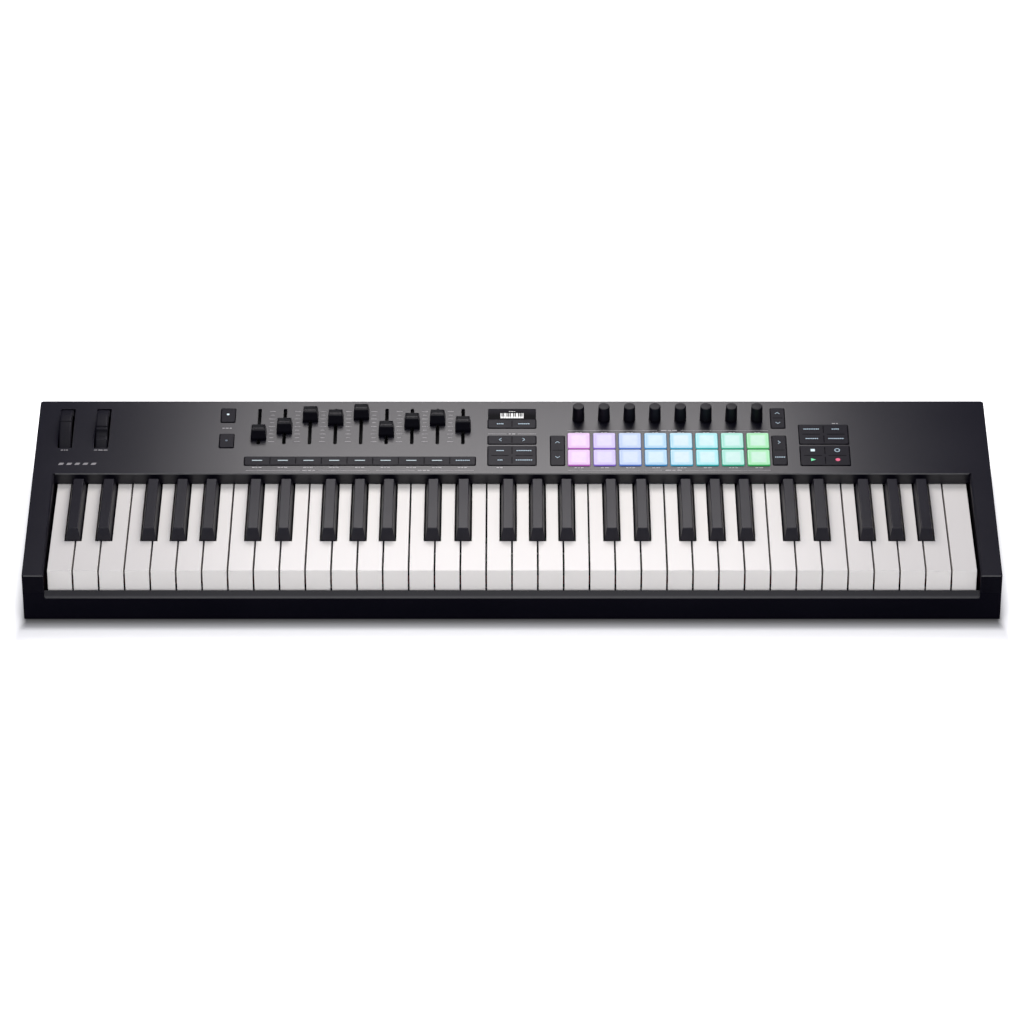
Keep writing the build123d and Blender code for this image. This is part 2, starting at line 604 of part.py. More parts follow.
def make_knobs():
    """Endless rotary knobs with their shafts, and the encoder bodies."""
    bodies = []
    for column in range(KNOB_COUNT):
        x = KNOB_FIRST_X + column * COLUMN_PITCH
        flat = panel_plane() * Pos(x, KNOB_ROW)
        body = panel_box(x - 6, x + 6, KNOB_ROW - 6.5, KNOB_ROW + 6.5, BOARD_TOP, -2.9)
        body -= flat * Pos(0, 0, -5.2) * Cylinder(3.3, 6)
        bodies.append(body)
        base_radius = KNOB_BASE_DIAMETER / 2
        top_radius = KNOB_TOP_DIAMETER / 2
        length = KNOB_HEIGHT - 0.7
        knob = Cone(base_radius, top_radius, length)
        knob = fillet(knob.edges().group_by(Axis.Z)[-1], 0.8)
        knob -= Pos(0, 0, -length / 2 + 2) * (Cylinder(base_radius - 1.4, 4) - Cylinder(3.6, 4))
        shaft = Pos(0, 0, -length / 2 - 4.2) * Cylinder(3.0, 8.6)
        knob += shaft
        save(f"knob_{column + 1}", [flat * Pos(0, 0, 0.7 + length / 2) * knob])
    save("encoder_bodies", bodies)


def make_pads():
    """Two rows of soft drum pads."""
    for row_name, row in PAD_ROWS.items():
        pads = []
        for column in range(KNOB_COUNT):
            x = KNOB_FIRST_X + column * COLUMN_PITCH
            half_x = PAD_SIZE[0] / 2
            half_p = PAD_SIZE[1] / 2
            pad = panel_box(x - half_x, x + half_x, row - half_p, row + half_p, PAD_BOTTOM,
                            PAD_RISE, 1.4)
            pad = fillet(pad.faces().sort_by(Axis.Z)[-1].edges(), 0.6)
            grow = 0.8
            pad += panel_box(x - half_x - grow, x + half_x + grow, row - half_p - grow, row + half_p + grow,
                             -4.3, FLANGE_TOP, 2.0)
            pads.append(pad)
        save(f"pads_{row_name}", pads)


def make_buttons():
    """Key mats, one node for each group of buttons, and the switches below them."""
    groups = {
        "octave_buttons": OCTAVE_BLOCKS,
        "fader_buttons": FADER_BUTTON_BLOCKS,
        "screen_buttons": SCREEN_BLOCKS,
        "side_buttons": SIDE_BLOCKS,
        "transport_buttons": TRANSPORT_BLOCKS,
    }
    for name, blocks in groups.items():
        save(name, [button_mat(block) for block in blocks])
    switches = []
    for block in BUTTON_BLOCKS:
        for x, p in cells(block):
            body = panel_box(x - 3, x + 3, p - 3, p + 3, BOARD_TOP, -6.6)
            plunger = panel_plane() * Pos(x, p, -6.35) * Cylinder(1.6, 0.7)
            switches.append(body + plunger)
    save("tact_switches", switches)


def make_display():
    """Display unit with its window flush with the panel."""
    x0, x1, p0, p1 = DISPLAY_BLOCK
    gap = DISPLAY_GAP
    window = panel_box(x0 + gap, x1 - gap, p0 + gap, p1 - gap, -2.6, -0.2, BLOCK_CORNER - gap)
    unit = panel_box(x0 + 2, x1 - 2, p0 + 1.8, p1 - 1, BOARD_TOP, -2.6)
    save("display", [window + unit])


def make_boards():
    """Main circuit board, parallel to the panel."""
    board = panel_box(-285, 325, 5, 99, BOARD_TOP - BOARD_THICKNESS, BOARD_TOP)
    save("main_board", [board])


# ---------------------------------------------------------------- rear sockets
def make_sockets():
    """Socket plate in the rear wall with a pedal jack and a USB socket."""
    x0, x1, z0, z1 = SOCKET_PLATE
    plate = box(x0, x1, REAR - WALL, REAR, z0, z1)
    plate -= y_cylinder(5.0, REAR - WALL - 1, REAR + 1, JACK_X, SOCKET_Z)
    usb_hole = Plane.XZ * Pos(USB_X, SOCKET_Z) * RectangleRounded(9.8, 4.2, 1.9)
    plate -= extrude(usb_hole, amount=-2 * REAR, dir=(0, -1, 0))
    save("socket_plate", [plate])

    jack = box(JACK_X - 7, JACK_X + 7, REAR - 25, REAR - WALL, SOCKET_Z - SOCKET_DROP, SOCKET_Z + 7)
    jack += y_cylinder(4.7, REAR - WALL - 1, REAR, JACK_X, SOCKET_Z)
    jack -= y_cylinder(JACK_BORE_RADIUS, REAR - 23.5, REAR + 1, JACK_X, SOCKET_Z)
    save("pedal_jack", [jack])

    usb = box(USB_X - 6, USB_X + 6, REAR - 13, REAR - WALL, SOCKET_Z - SOCKET_DROP, SOCKET_Z + 2.6)
    nose = Plane.XZ.offset(-REAR) * Pos(USB_X, SOCKET_Z) * RectangleRounded(9.2, 3.6, 1.7)
    usb += extrude(nose, amount=WALL + 1, dir=(0, -1, 0))
    mouth = Plane.XZ.offset(-REAR - 1) * Pos(USB_X, SOCKET_Z) * RectangleRounded(8.4, 2.8, 1.35)
    usb -= extrude(mouth, amount=8, dir=(0, -1, 0))
    usb += box(USB_X - 3.2, USB_X + 3.2, REAR - 8, REAR - 1.2, SOCKET_Z - 0.35, SOCKET_Z + 0.35)
    save("usb_socket", [usb])

    low = SOCKET_Z - SOCKET_DROP
    board = box(x0 + 4, x1 - 4, REAR - 34, REAR - WALL - 0.5, low - BOARD_THICKNESS, low)
    save("socket_board", [board])


make_top_case()
make_bottom_case()
make_fixings()
make_key_bed()
make_keys()
make_wheels()
make_faders()
make_knobs()
make_pads()
make_buttons()
make_display()
make_boards()
make_sockets()
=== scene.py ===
"""Looks of the keyboard synthesizer controller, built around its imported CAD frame. Units are metres;
sizes on the control panel are given in millimetres and turned into metres by the helpers."""

import json
import math

import bmesh
import bpy
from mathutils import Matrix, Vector


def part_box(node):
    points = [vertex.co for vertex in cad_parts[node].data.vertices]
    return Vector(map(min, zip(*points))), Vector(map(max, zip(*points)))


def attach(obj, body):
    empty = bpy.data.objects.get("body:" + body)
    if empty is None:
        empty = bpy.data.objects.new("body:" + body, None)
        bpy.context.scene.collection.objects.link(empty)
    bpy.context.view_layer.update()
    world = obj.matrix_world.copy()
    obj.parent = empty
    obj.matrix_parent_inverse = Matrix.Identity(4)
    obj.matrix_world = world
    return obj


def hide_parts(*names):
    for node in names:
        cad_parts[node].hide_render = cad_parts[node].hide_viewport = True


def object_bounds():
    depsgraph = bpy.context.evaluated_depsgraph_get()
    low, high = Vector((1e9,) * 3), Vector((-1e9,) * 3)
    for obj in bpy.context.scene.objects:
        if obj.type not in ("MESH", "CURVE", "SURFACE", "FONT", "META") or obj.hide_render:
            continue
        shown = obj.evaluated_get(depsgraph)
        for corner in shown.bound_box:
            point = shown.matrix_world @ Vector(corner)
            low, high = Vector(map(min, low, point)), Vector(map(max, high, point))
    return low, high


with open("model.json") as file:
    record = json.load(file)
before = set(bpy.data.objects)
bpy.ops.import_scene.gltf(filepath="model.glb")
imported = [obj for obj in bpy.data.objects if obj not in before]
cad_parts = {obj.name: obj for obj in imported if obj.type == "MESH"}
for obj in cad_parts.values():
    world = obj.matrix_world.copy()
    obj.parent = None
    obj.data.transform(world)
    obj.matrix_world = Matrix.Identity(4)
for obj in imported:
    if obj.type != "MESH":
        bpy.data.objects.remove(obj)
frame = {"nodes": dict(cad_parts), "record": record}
cad_low, cad_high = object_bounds()

# ---------------------------------------------------------------- driving dimensions, in millimetres
MM = 0.001
KNOB_ROW = 82.4          # from the panel's front edge up the slope to the knob axes
COLUMN_PITCH = 24.06
FADER_SCALE = (71.4, 5.72)   # middle of the fader scale and the step between its ticks
PAD_ROWS = {"upper": 48.5, "lower": 23.3}
PAD_SIZE = (20.8, 22.9)
BUTTON_RISE = 0.7
KEY_GAP = 1.6
SHARP_OFFSETS = {0: -2.45, 1: 2.2, 3: -3.55, 4: 0.0, 5: 3.45}
SHARP_CUTOUT = 16.0
SHARP_BASE = 13.6
SHARP_TOP = 9.3

record = frame["record"]
joints = {joint["name"]: joint for joint in record["behaviour"]["joints"]}
SIDE = Vector((1, 0, 0))
NORMAL = Vector(joints["knob_1_turn"]["axis"]).normalized()
SLOPE = NORMAL.cross(SIDE)
KNOB_ONE = Vector(joints["knob_1_turn"]["pos_m"])
KNOB_FIRST_X = KNOB_ONE.x / MM
FADER_FIRST_X = (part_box("fader_1")[0].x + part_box("fader_1")[1].x) / 2 / MM


def panel(x, p, height=0.0):
    """Point on the control panel: x along the keyboard, p up the slope, height above the surface, in mm."""
    return Vector((x * MM, KNOB_ONE.y, KNOB_ONE.z)) + SLOPE * ((p - KNOB_ROW) * MM) + NORMAL * (height * MM)


# ---------------------------------------------------------------- node helpers for materials
def new_material(name):
    """Material with an empty tree, its output and one Principled shader."""
    material = bpy.data.materials.new(name)
    material.use_nodes = True
    tree = material.node_tree
    tree.nodes.clear()
    output = tree.nodes.new("ShaderNodeOutputMaterial")
    shader = tree.nodes.new("ShaderNodeBsdfPrincipled")
    tree.links.new(shader.outputs["BSDF"], output.inputs["Surface"])
    return material, tree, shader


def noise(tree, scale, detail=3.0, roughness=0.5, stretch=None):
    """Noise in object coordinates; scale is in cycles per metre."""
    coords = tree.nodes.new("ShaderNodeTexCoord")
    source = coords.outputs["Object"]
    if stretch:
        mapping = tree.nodes.new("ShaderNodeMapping")
        mapping.inputs["Scale"].default_value = stretch
        tree.links.new(source, mapping.inputs["Vector"])
        source = mapping.outputs["Vector"]
    texture = tree.nodes.new("ShaderNodeTexNoise")
    texture.inputs["Scale"].default_value = scale
    texture.inputs["Detail"].default_value = detail
    texture.inputs["Roughness"].default_value = roughness
    tree.links.new(source, texture.inputs["Vector"])
    return texture.outputs["Fac"]


def maths(tree, operation, a, b=None, clamp=False):
    """Math node; an input is a number or a socket."""
    node = tree.nodes.new("ShaderNodeMath")
    node.operation = operation
    node.use_clamp = clamp
    for index, value in enumerate((a, b)):
        if value is None:
            continue
        if isinstance(value, (int, float)):
            node.inputs[index].default_value = value
        else:
            tree.links.new(value, node.inputs[index])
    return node.outputs[0]


def remap(tree, value, from_low, from_high, to_low, to_high):
    """Value moved from one range to another and held inside it."""
    node = tree.nodes.new("ShaderNodeMapRange")
    ends = {"From Min": from_low, "From Max": from_high, "To Min": to_low, "To Max": to_high}
    for name, number in ends.items():
        node.inputs[name].default_value = number
    tree.links.new(value, node.inputs["Value"])
    return node.outputs["Result"]


def mix_colours(tree, factor, a, b):
    """Colour between a and b."""
    node = tree.nodes.new("ShaderNodeMix")
    node.data_type = "RGBA"
    tree.links.new(factor, node.inputs["Factor"])
    for socket, value in ((node.inputs["A"], a), (node.inputs["B"], b)):
        if isinstance(value, tuple):
            socket.default_value = (*value, 1.0)
        else:
            tree.links.new(value, socket)
    return node.outputs["Result"]


def add_bump(tree, shader, height, strength, distance):
    """Fine relief on the shader's normal."""
    bump = tree.nodes.new("ShaderNodeBump")
    bump.inputs["Strength"].default_value = strength
    bump.inputs["Distance"].default_value = distance
    tree.links.new(height, bump.inputs["Height"])
    tree.links.new(bump.outputs["Normal"], shader.inputs["Normal"])
    return bump


def moulded(name, colour, roughness, grain=1400.0, strength=0.12, specular=0.5, coat=0.0, spread=0.12,
            uneven=0.03):
    """Moulded plastic or rubber: fine spark-eroded grain, slight blotches in tone and in gloss."""
    material, tree, shader = new_material(name)
    blotch = noise(tree, 22.0, 4.0)
    speck = noise(tree, grain, 2.0)
    dark = tuple(channel * (1 - spread) for channel in colour)
    light = tuple(min(1.0, channel * (1 + spread)) for channel in colour)
    both = maths(tree, "ADD", maths(tree, "MULTIPLY", blotch, 0.6), maths(tree, "MULTIPLY", speck, 0.4))
    tone = mix_colours(tree, remap(tree, both, 0.3, 0.7, 0.0, 1.0), dark, light)
    tree.links.new(tone, shader.inputs["Base Color"])
    gloss = remap(tree, blotch, 0.3, 0.7, max(0.02, roughness - uneven), min(1.0, roughness + uneven))
    tree.links.new(gloss, shader.inputs["Roughness"])
    shader.inputs["Specular IOR Level"].default_value = specular
    shader.inputs["Coat Weight"].default_value = coat
    shader.inputs["Coat Roughness"].default_value = 0.08
    add_bump(tree, shader, speck, strength, 0.00006)
    return material


def sharp_plastic(name, top, front, roughness):
    """Black key plastic: dull on the steep sides, and a paler base colour on the sloping front as painted light."""
    material = moulded(name, top, roughness, 1800.0, 0.10)
    tree = material.node_tree
    shader = tree.nodes["Principled BSDF"]
    coords = tree.nodes.new("ShaderNodeTexCoord")
    split = tree.nodes.new("ShaderNodeSeparateXYZ")
    tree.links.new(coords.outputs["Normal"], split.inputs["Vector"])
    facing_side = maths(tree, "ABSOLUTE", split.outputs["X"])
    tree.links.new(remap(tree, facing_side, 0.5, 0.9, 0.26, 0.03), shader.inputs["Specular IOR Level"])
    # painted light: faces turned to the front get the paler colour, as if lit from the front
    painted_front_light = remap(tree, split.outputs["Y"], -0.5, -0.8, 0.0, 1.0)
    plain = shader.inputs["Base Color"].links[0].from_socket
    tree.links.new(mix_colours(tree, painted_front_light, plain, front), shader.inputs["Base Color"])
    return material


def panel_plastic(name):
    """Case plastic with a fine grain and, over the middle of the panel, hair-line ribs; the lip in front of the keys
    gets a painted highlight line.
    """
    material, tree, shader = new_material(name)
    coords = tree.nodes.new("ShaderNodeTexCoord")
    split = tree.nodes.new("ShaderNodeSeparateXYZ")
    tree.links.new(coords.outputs["Object"], split.inputs["Vector"])
    x, y, z = split.outputs
    blotch = noise(tree, 9.0, 4.0)
    speck = noise(tree, 1600.0, 2.0)
    ribs = maths(tree, "SINE", maths(tree, "MULTIPLY", x, 2 * math.pi / (RIB_PITCH * MM)))
    ribs = remap(tree, ribs, -1.0, 1.0, 0.0, 1.0)
    inside = maths(tree, "GREATER_THAN", x, RIB_FIELD[0] * MM)
    inside = maths(tree, "MULTIPLY", inside, maths(tree, "LESS_THAN", x, RIB_FIELD[1] * MM))
    inside = maths(tree, "MULTIPLY", inside, maths(tree, "GREATER_THAN", z, panel(0, 0).z - 0.0005))
    patch_low = panel(0, KNOB_PATCH[2]).y
    patch_high = panel(0, KNOB_PATCH[3]).y
    patch = maths(tree, "MULTIPLY", maths(tree, "GREATER_THAN", x, KNOB_PATCH[0] * MM),
                  maths(tree, "LESS_THAN", x, KNOB_PATCH[1] * MM))
    patch = maths(tree, "MULTIPLY", patch, maths(tree, "GREATER_THAN", y, patch_low))
    patch = maths(tree, "MULTIPLY", patch, maths(tree, "LESS_THAN", y, patch_high))
    inside = maths(tree, "MULTIPLY", inside, maths(tree, "SUBTRACT", 1.0, patch))
    ribs = maths(tree, "MULTIPLY", ribs, inside)
    tone = mix_colours(tree, remap(tree, blotch, 0.3, 0.7, 0.0, 1.0), CASE_DARK, CASE_LIGHT)
    tone = mix_colours(tree, maths(tree, "MULTIPLY", ribs, 0.15), tone, (0.0012, 0.0011, 0.0014))
    tree.links.new(tone, shader.inputs["Base Color"])
    gloss = remap(tree, blotch, 0.3, 0.7, CASE_ROUGHNESS - 0.015, CASE_ROUGHNESS + 0.015)
    waves = maths(tree, "SUBTRACT", ribs, maths(tree, "MULTIPLY", inside, 0.5))
    gloss = maths(tree, "ADD", gloss, maths(tree, "MULTIPLY", waves, 0.05))
    tree.links.new(gloss, shader.inputs["Roughness"])
    # the lip in front of the keys has its specular turned down, with a painted highlight line of raised specular just
    # behind its front edge, standing in for a rounded edge catching the light
    painted_lip_highlight = remap(tree, y, cad_low.y + 2.5 * MM, cad_low.y + 1.3 * MM, 0.31, 0.50)
    painted_lip_highlight = maths(tree, "MULTIPLY", painted_lip_highlight, remap(tree, y, cad_low.y + 0.6 * MM, cad_low.y + 0.3 * MM, 1.0, 0.35))
    lip = maths(tree, "MULTIPLY", maths(tree, "LESS_THAN", z, 0.033),
                maths(tree, "LESS_THAN", y, cad_low.y + 7 * MM))
    painted_lip_highlight = maths(tree, "MULTIPLY", lip, maths(tree, "SUBTRACT", painted_lip_highlight, 0.5))
    tree.links.new(maths(tree, "ADD", painted_lip_highlight, 0.5), shader.inputs["Specular IOR Level"])
    relief = maths(tree, "ADD", maths(tree, "MULTIPLY", speck, 0.35), maths(tree, "MULTIPLY", ribs, -0.2))
    add_bump(tree, shader, relief, 0.16, 0.00006)
    return material


def lit(name, colour, strength, albedo=1.0):
    """Legend or light guide: body colour is a share of the glow's colour, slightly uneven."""
    material, tree, shader = new_material(name)
    uneven = remap(tree, noise(tree, 900.0, 2.0), 0.3, 0.7, 0.0, 1.0)
    body = tuple(channel * albedo for channel in colour)
    worn = tuple(channel * 0.85 for channel in body)
    faint = tuple(channel * 0.88 for channel in colour)
    tree.links.new(mix_colours(tree, uneven, worn, body), shader.inputs["Base Color"])
    tree.links.new(mix_colours(tree, uneven, faint, colour), shader.inputs["Emission Color"])
    shader.inputs["Emission Strength"].default_value = strength
    shader.inputs["Roughness"].default_value = 0.5
    shader.inputs["Specular IOR Level"].default_value = 0.3
    return material


def display_glass(name):
    """Black display window, paler towards its far edge as a painted reflection."""
    material, tree, shader = new_material(name)
    coords = tree.nodes.new("ShaderNodeTexCoord")
    split = tree.nodes.new("ShaderNodeSeparateXYZ")
    tree.links.new(coords.outputs["Object"], split.inputs["Vector"])
    # painted reflection: the base colour pales towards the far edge of the window
    painted_reflection_fade = remap(tree, split.outputs["Y"], panel(0, 88).y, panel(0, 98.4).y, 0.0, 1.0)
    haze = remap(tree, noise(tree, 60.0, 2.0), 0.3, 0.7, -0.04, 0.04)
    painted_reflection_fade = maths(tree, "ADD", painted_reflection_fade, haze, clamp=True)
    tone = mix_colours(tree, painted_reflection_fade, (0.0012, 0.0012, 0.0022), (0.016, 0.015, 0.020))
    tree.links.new(tone, shader.inputs["Base Color"])
    shader.inputs["Roughness"].default_value = 0.12
    shader.inputs["Specular IOR Level"].default_value = 0.01
    return material


def tinted_silicone(name):
    """Pad silicone lit from below: the glow follows the tint stored on the mesh."""
    material, tree, shader = new_material(name)
    tint = tree.nodes.new("ShaderNodeVertexColor")
    tint.layer_name = "tint"
    cloud = remap(tree, noise(tree, 160.0, 3.0), 0.3, 0.7, 0.0, 1.0)
    shade = mix_colours(tree, cloud, (0.93, 0.95, 0.97), (1.0, 1.0, 1.0))
    blend = tree.nodes.new("ShaderNodeMix")
    blend.data_type = "RGBA"
    blend.blend_type = "MULTIPLY"
    blend.inputs["Factor"].default_value = 1.0
    tree.links.new(tint.outputs["Color"], blend.inputs["A"])
    tree.links.new(shade, blend.inputs["B"])
    body = tree.nodes.new("ShaderNodeMix")
    body.data_type = "RGBA"
    body.inputs["Factor"].default_value = 1 - PAD_BODY
    body.inputs["B"].default_value = (0.0, 0.0, 0.0, 1.0)
    tree.links.new(blend.outputs["Result"], body.inputs["A"])
    tree.links.new(body.outputs["Result"], shader.inputs["Base Color"])
    tree.links.new(blend.outputs["Result"], shader.inputs["Emission Color"])
    shader.inputs["Emission Strength"].default_value = PAD_GLOW
    shader.inputs["Roughness"].default_value = 0.42
    shader.inputs["Specular IOR Level"].default_value = 0.4
    add_bump(tree, shader, noise(tree, 1300.0, 2.0), 0.08, 0.00005)
    return material


def metal(name, colour, roughness):
    """Plated or brushed metal with fine drawn lines."""
    material, tree, shader = new_material(name)
    lines = noise(tree, 300.0, 4.0, 0.6, (1.0, 14.0, 1.0))
    dark = tuple(channel * 0.8 for channel in colour)
    tree.links.new(mix_colours(tree, lines, dark, colour), shader.inputs["Base Color"])
    tree.links.new(remap(tree, lines, 0.2, 0.8, roughness - 0.06, roughness + 0.06), shader.inputs["Roughness"])
    shader.inputs["Metallic"].default_value = 1.0
    add_bump(tree, shader, lines, 0.1, 0.00005)
    return material


def felt(name, colour):
    """Pressed felt: soft fibres and sheen."""
    material, tree, shader = new_material(name)
    fibres = noise(tree, 2400.0, 6.0, 0.7)
    dark = tuple(channel * 0.6 for channel in colour)
    tree.links.new(mix_colours(tree, fibres, dark, colour), shader.inputs["Base Color"])
    shader.inputs["Roughness"].default_value = 0.95
    shader.inputs["Sheen Weight"].default_value = 0.4
    add_bump(tree, shader, fibres, 0.5, 0.0002)
    return material


CASE_DARK = (0.0027, 0.0023, 0.0060)
CASE_LIGHT = (0.0036, 0.0031, 0.0074)
CASE_ROUGHNESS = 0.33
RIB_PITCH = 2.2
RIB_FIELD = (-29.5, 267.0)
KNOB_PATCH = (29.0, 240.0, 66.0, 98.0)
PAD_GLOW = 0.60
PAD_BODY = 0.28

MATERIALS = {
    "case_black": panel_plastic("case_satin"),
    "white_key": moulded("key_white", (0.765, 0.742, 0.705), 0.28, 2200.0, 0.015, spread=0.004, uneven=0.005),
    "black_key": sharp_plastic("key_black", (0.0115, 0.0108, 0.0150), (0.023, 0.022, 0.028), 0.36),
    "control_black": moulded("control_black", (0.0026, 0.0022, 0.0048), 0.38, 1800.0, 0.12, specular=0.19),
    "button_grey": moulded("button_rubber", (0.0058, 0.0052, 0.0094), 0.48, 1500.0, 0.18, specular=0.155),
    "pad_silicone": tinted_silicone("pad_glow"),
    "wheel_rubber": moulded("wheel_soft", (0.0042, 0.0037, 0.0074), 0.55, 1500.0, 0.2, specular=0.22),
    "foot_rubber": moulded("foot_rubber", (0.012, 0.012, 0.012), 0.85, 1200.0, 0.35),
    "inner_plastic": moulded("chassis_plastic", (0.003, 0.003, 0.0035), 0.75, 900.0, 0.2, specular=0.2),
    "felt": felt("stop_felt", (0.20, 0.03, 0.03)),
    "board_green": moulded("board_green", (0.01, 0.07, 0.03), 0.35, 700.0, 0.1, coat=0.3),
    "dome_silicone": moulded("dome_silicone", (0.45, 0.45, 0.43), 0.5, 900.0, 0.1),
    "metal": metal("plated_metal", (0.55, 0.55, 0.57), 0.32),
    "screw_steel": metal("screw_black", (0.06, 0.06, 0.065), 0.42),
    "display_gloss": display_glass("display_gloss"),
    "knob_black": moulded("knob_black", (0.0032, 0.0028, 0.0058), 0.52, 1800.0, 0.12, specular=0.26),
}
PRINT = lit("legend_print", (0.50, 0.49, 0.49), 0.0)
FAINT = lit("legend_faint", (0.34, 0.33, 0.335), 0.0)
GLOW = lit("legend_glow", (0.56, 0.72, 0.84), 0.85, 0.2)
# painted shade: dark material for strips that stand in for the shade in grooves and gaps
GROOVE_SHADE = moulded("groove_shadow", (0.0016, 0.0014, 0.0026), 0.8, 900.0, 0.2, specular=0.05)
LED = lit("led_white", (0.72, 0.86, 0.92), 1.05, 0.1)
PLAY = lit("led_green", (0.22, 1.0, 0.50), 0.8, 0.1)
RECORD = lit("led_pink", (1.0, 0.16, 0.30), 0.8, 0.1)
SCREEN = lit("screen_white", (1.0, 1.0, 1.0), 1.0, 0.1)
DIM = lit("led_dim", (0.10, 0.13, 0.16), 0.2)
slots = {part["node"]: part["material_slot"] for part in record["subparts"]}
for node, obj in frame["nodes"].items():
    material = MATERIALS[slots[node]]
    obj.data.materials.clear()
    obj.data.materials.append(material)
    for slot in obj.material_slots:
        slot.link = "OBJECT"
        slot.material = material


# ---------------------------------------------------------------- mesh helpers
def finish_piece(name, mesh_data, material, body, replaces=(), bevel=0.0, segments=3, angle=32):
    """Object from a bmesh or mesh: soft edges, smooth shading, rides on a body and stands for its nodes."""
    mesh = bpy.data.meshes.new(name)
    bmesh.ops.recalc_face_normals(mesh_data, faces=mesh_data.faces)
    mesh_data.to_mesh(mesh)
    mesh_data.free()
    mesh.materials.append(material)
    obj = bpy.data.objects.new(name, mesh)
    bpy.context.scene.collection.objects.link(obj)
    mesh.shade_smooth()
    if bevel:
        soft = obj.modifiers.new("soft_edges", "BEVEL")
        soft.width = bevel * MM
        soft.segments = segments
        soft.limit_method = "ANGLE"
        soft.angle_limit = math.radians(angle)
        soft.harden_normals = True
    else:
        mesh.set_sharp_from_angle(angle=math.radians(angle))
    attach(obj, body)
    if replaces:
        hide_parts(*replaces)
    return obj


def add_prism(mesh, lower, upper):
    """Closed prism between two matching rings of points."""
    low = [mesh.verts.new(point) for point in lower]
    high = [mesh.verts.new(point) for point in upper]
    count = len(low)
    mesh.faces.new(list(reversed(low)))
    mesh.faces.new(high)
    for i in range(count):
        j = (i + 1) % count
        mesh.faces.new((low[i], low[j], high[j], high[i]))


def add_rings(mesh, rings, close_ends=True):
    """Skin over a stack of matching rings; returns the quads between them, ring by ring."""
    rows = [[mesh.verts.new(point) for point in ring] for ring in rings]
    count = len(rows[0])
    bands = []
    for lower, upper in zip(rows, rows[1:]):
        band = []
        for i in range(count):
            j = (i + 1) % count
            band.append(mesh.faces.new((lower[i], lower[j], upper[j], upper[i])))
        bands.append(band)
    if close_ends:
        mesh.faces.new(list(reversed(rows[0])))
        bands.append([mesh.faces.new(rows[-1])])
    return bands


def rounded(x0, x1, p0, p1, radius, steps=5):
    """Outline of a rectangle with round corners."""
    points = []
    corners = (((x1, p1), 0), ((x0, p1), 90), ((x0, p0), 180), ((x1, p0), 270))
    for (cx, cp), start in corners:
        centre_x = cx - math.copysign(radius, cx - (x0 + x1) / 2)
        centre_p = cp - math.copysign(radius, cp - (p0 + p1) / 2)
        for step in range(steps + 1):
            turn = math.radians(start + 90 * step / steps)
            points.append((centre_x + radius * math.cos(turn), centre_p + radius * math.sin(turn)))
    return points


# ---------------------------------------------------------------- keys
def white_outline(index, left, right, front, notch, rear):
    """Plan of one white key, cut back beside the sharps next to it."""
    def cut(key, sign):
        if key < 0 or key >= WHITE_COUNT - 1 or key % 7 not in SHARP_OFFSETS:
            return None
        centre = KEYS_LEFT + (key + 1) * PITCH + SHARP_OFFSETS[key % 7] * MM
        return centre + sign * SHARP_CUTOUT / 2 * MM

    rear_left = cut(index - 1, 1)
    rear_right = cut(index, -1)
    points = [(left, front), (right, front)]
    if rear_right is None:
        points.append((right, rear))
    else:
        points += [(right, notch), (rear_right, notch), (rear_right, rear)]
    if rear_left is None:
        points.append((left, rear))
    else:
        points += [(rear_left, rear), (rear_left, notch), (left, notch)]
    return points


WHITE_COUNT = 36
first_low, first_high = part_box("keys_ceg_b_1")
last_low, last_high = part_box("key_top_c")
PITCH = (last_high.x - first_low.x + KEY_GAP * MM) / WHITE_COUNT
KEYS_LEFT = first_low.x - KEY_GAP / 2 * MM
KEY_TOP = first_high.z
KEY_FRONT = first_low.y
KEY_REAR = first_high.y
KEY_DEPTH = 13.96 * MM
LIP_DEPTH = 30.36 * MM
LIP_THICKNESS = 2.0 * MM
NOTCH = KEY_FRONT + 47.95 * MM
FRONT_ROUND = 1.35 * MM
SHARP_HEIGHT = 11.3 * MM
SHARP_FRONT = KEY_FRONT + 48.75 * MM
SHARP_TOP_FRONT = SHARP_FRONT + 4.45 * MM
SHARP_TOP_REAR = KEY_FRONT + 134.4 * MM
SHARP_BASE_REAR = KEY_FRONT + 136.6 * MM


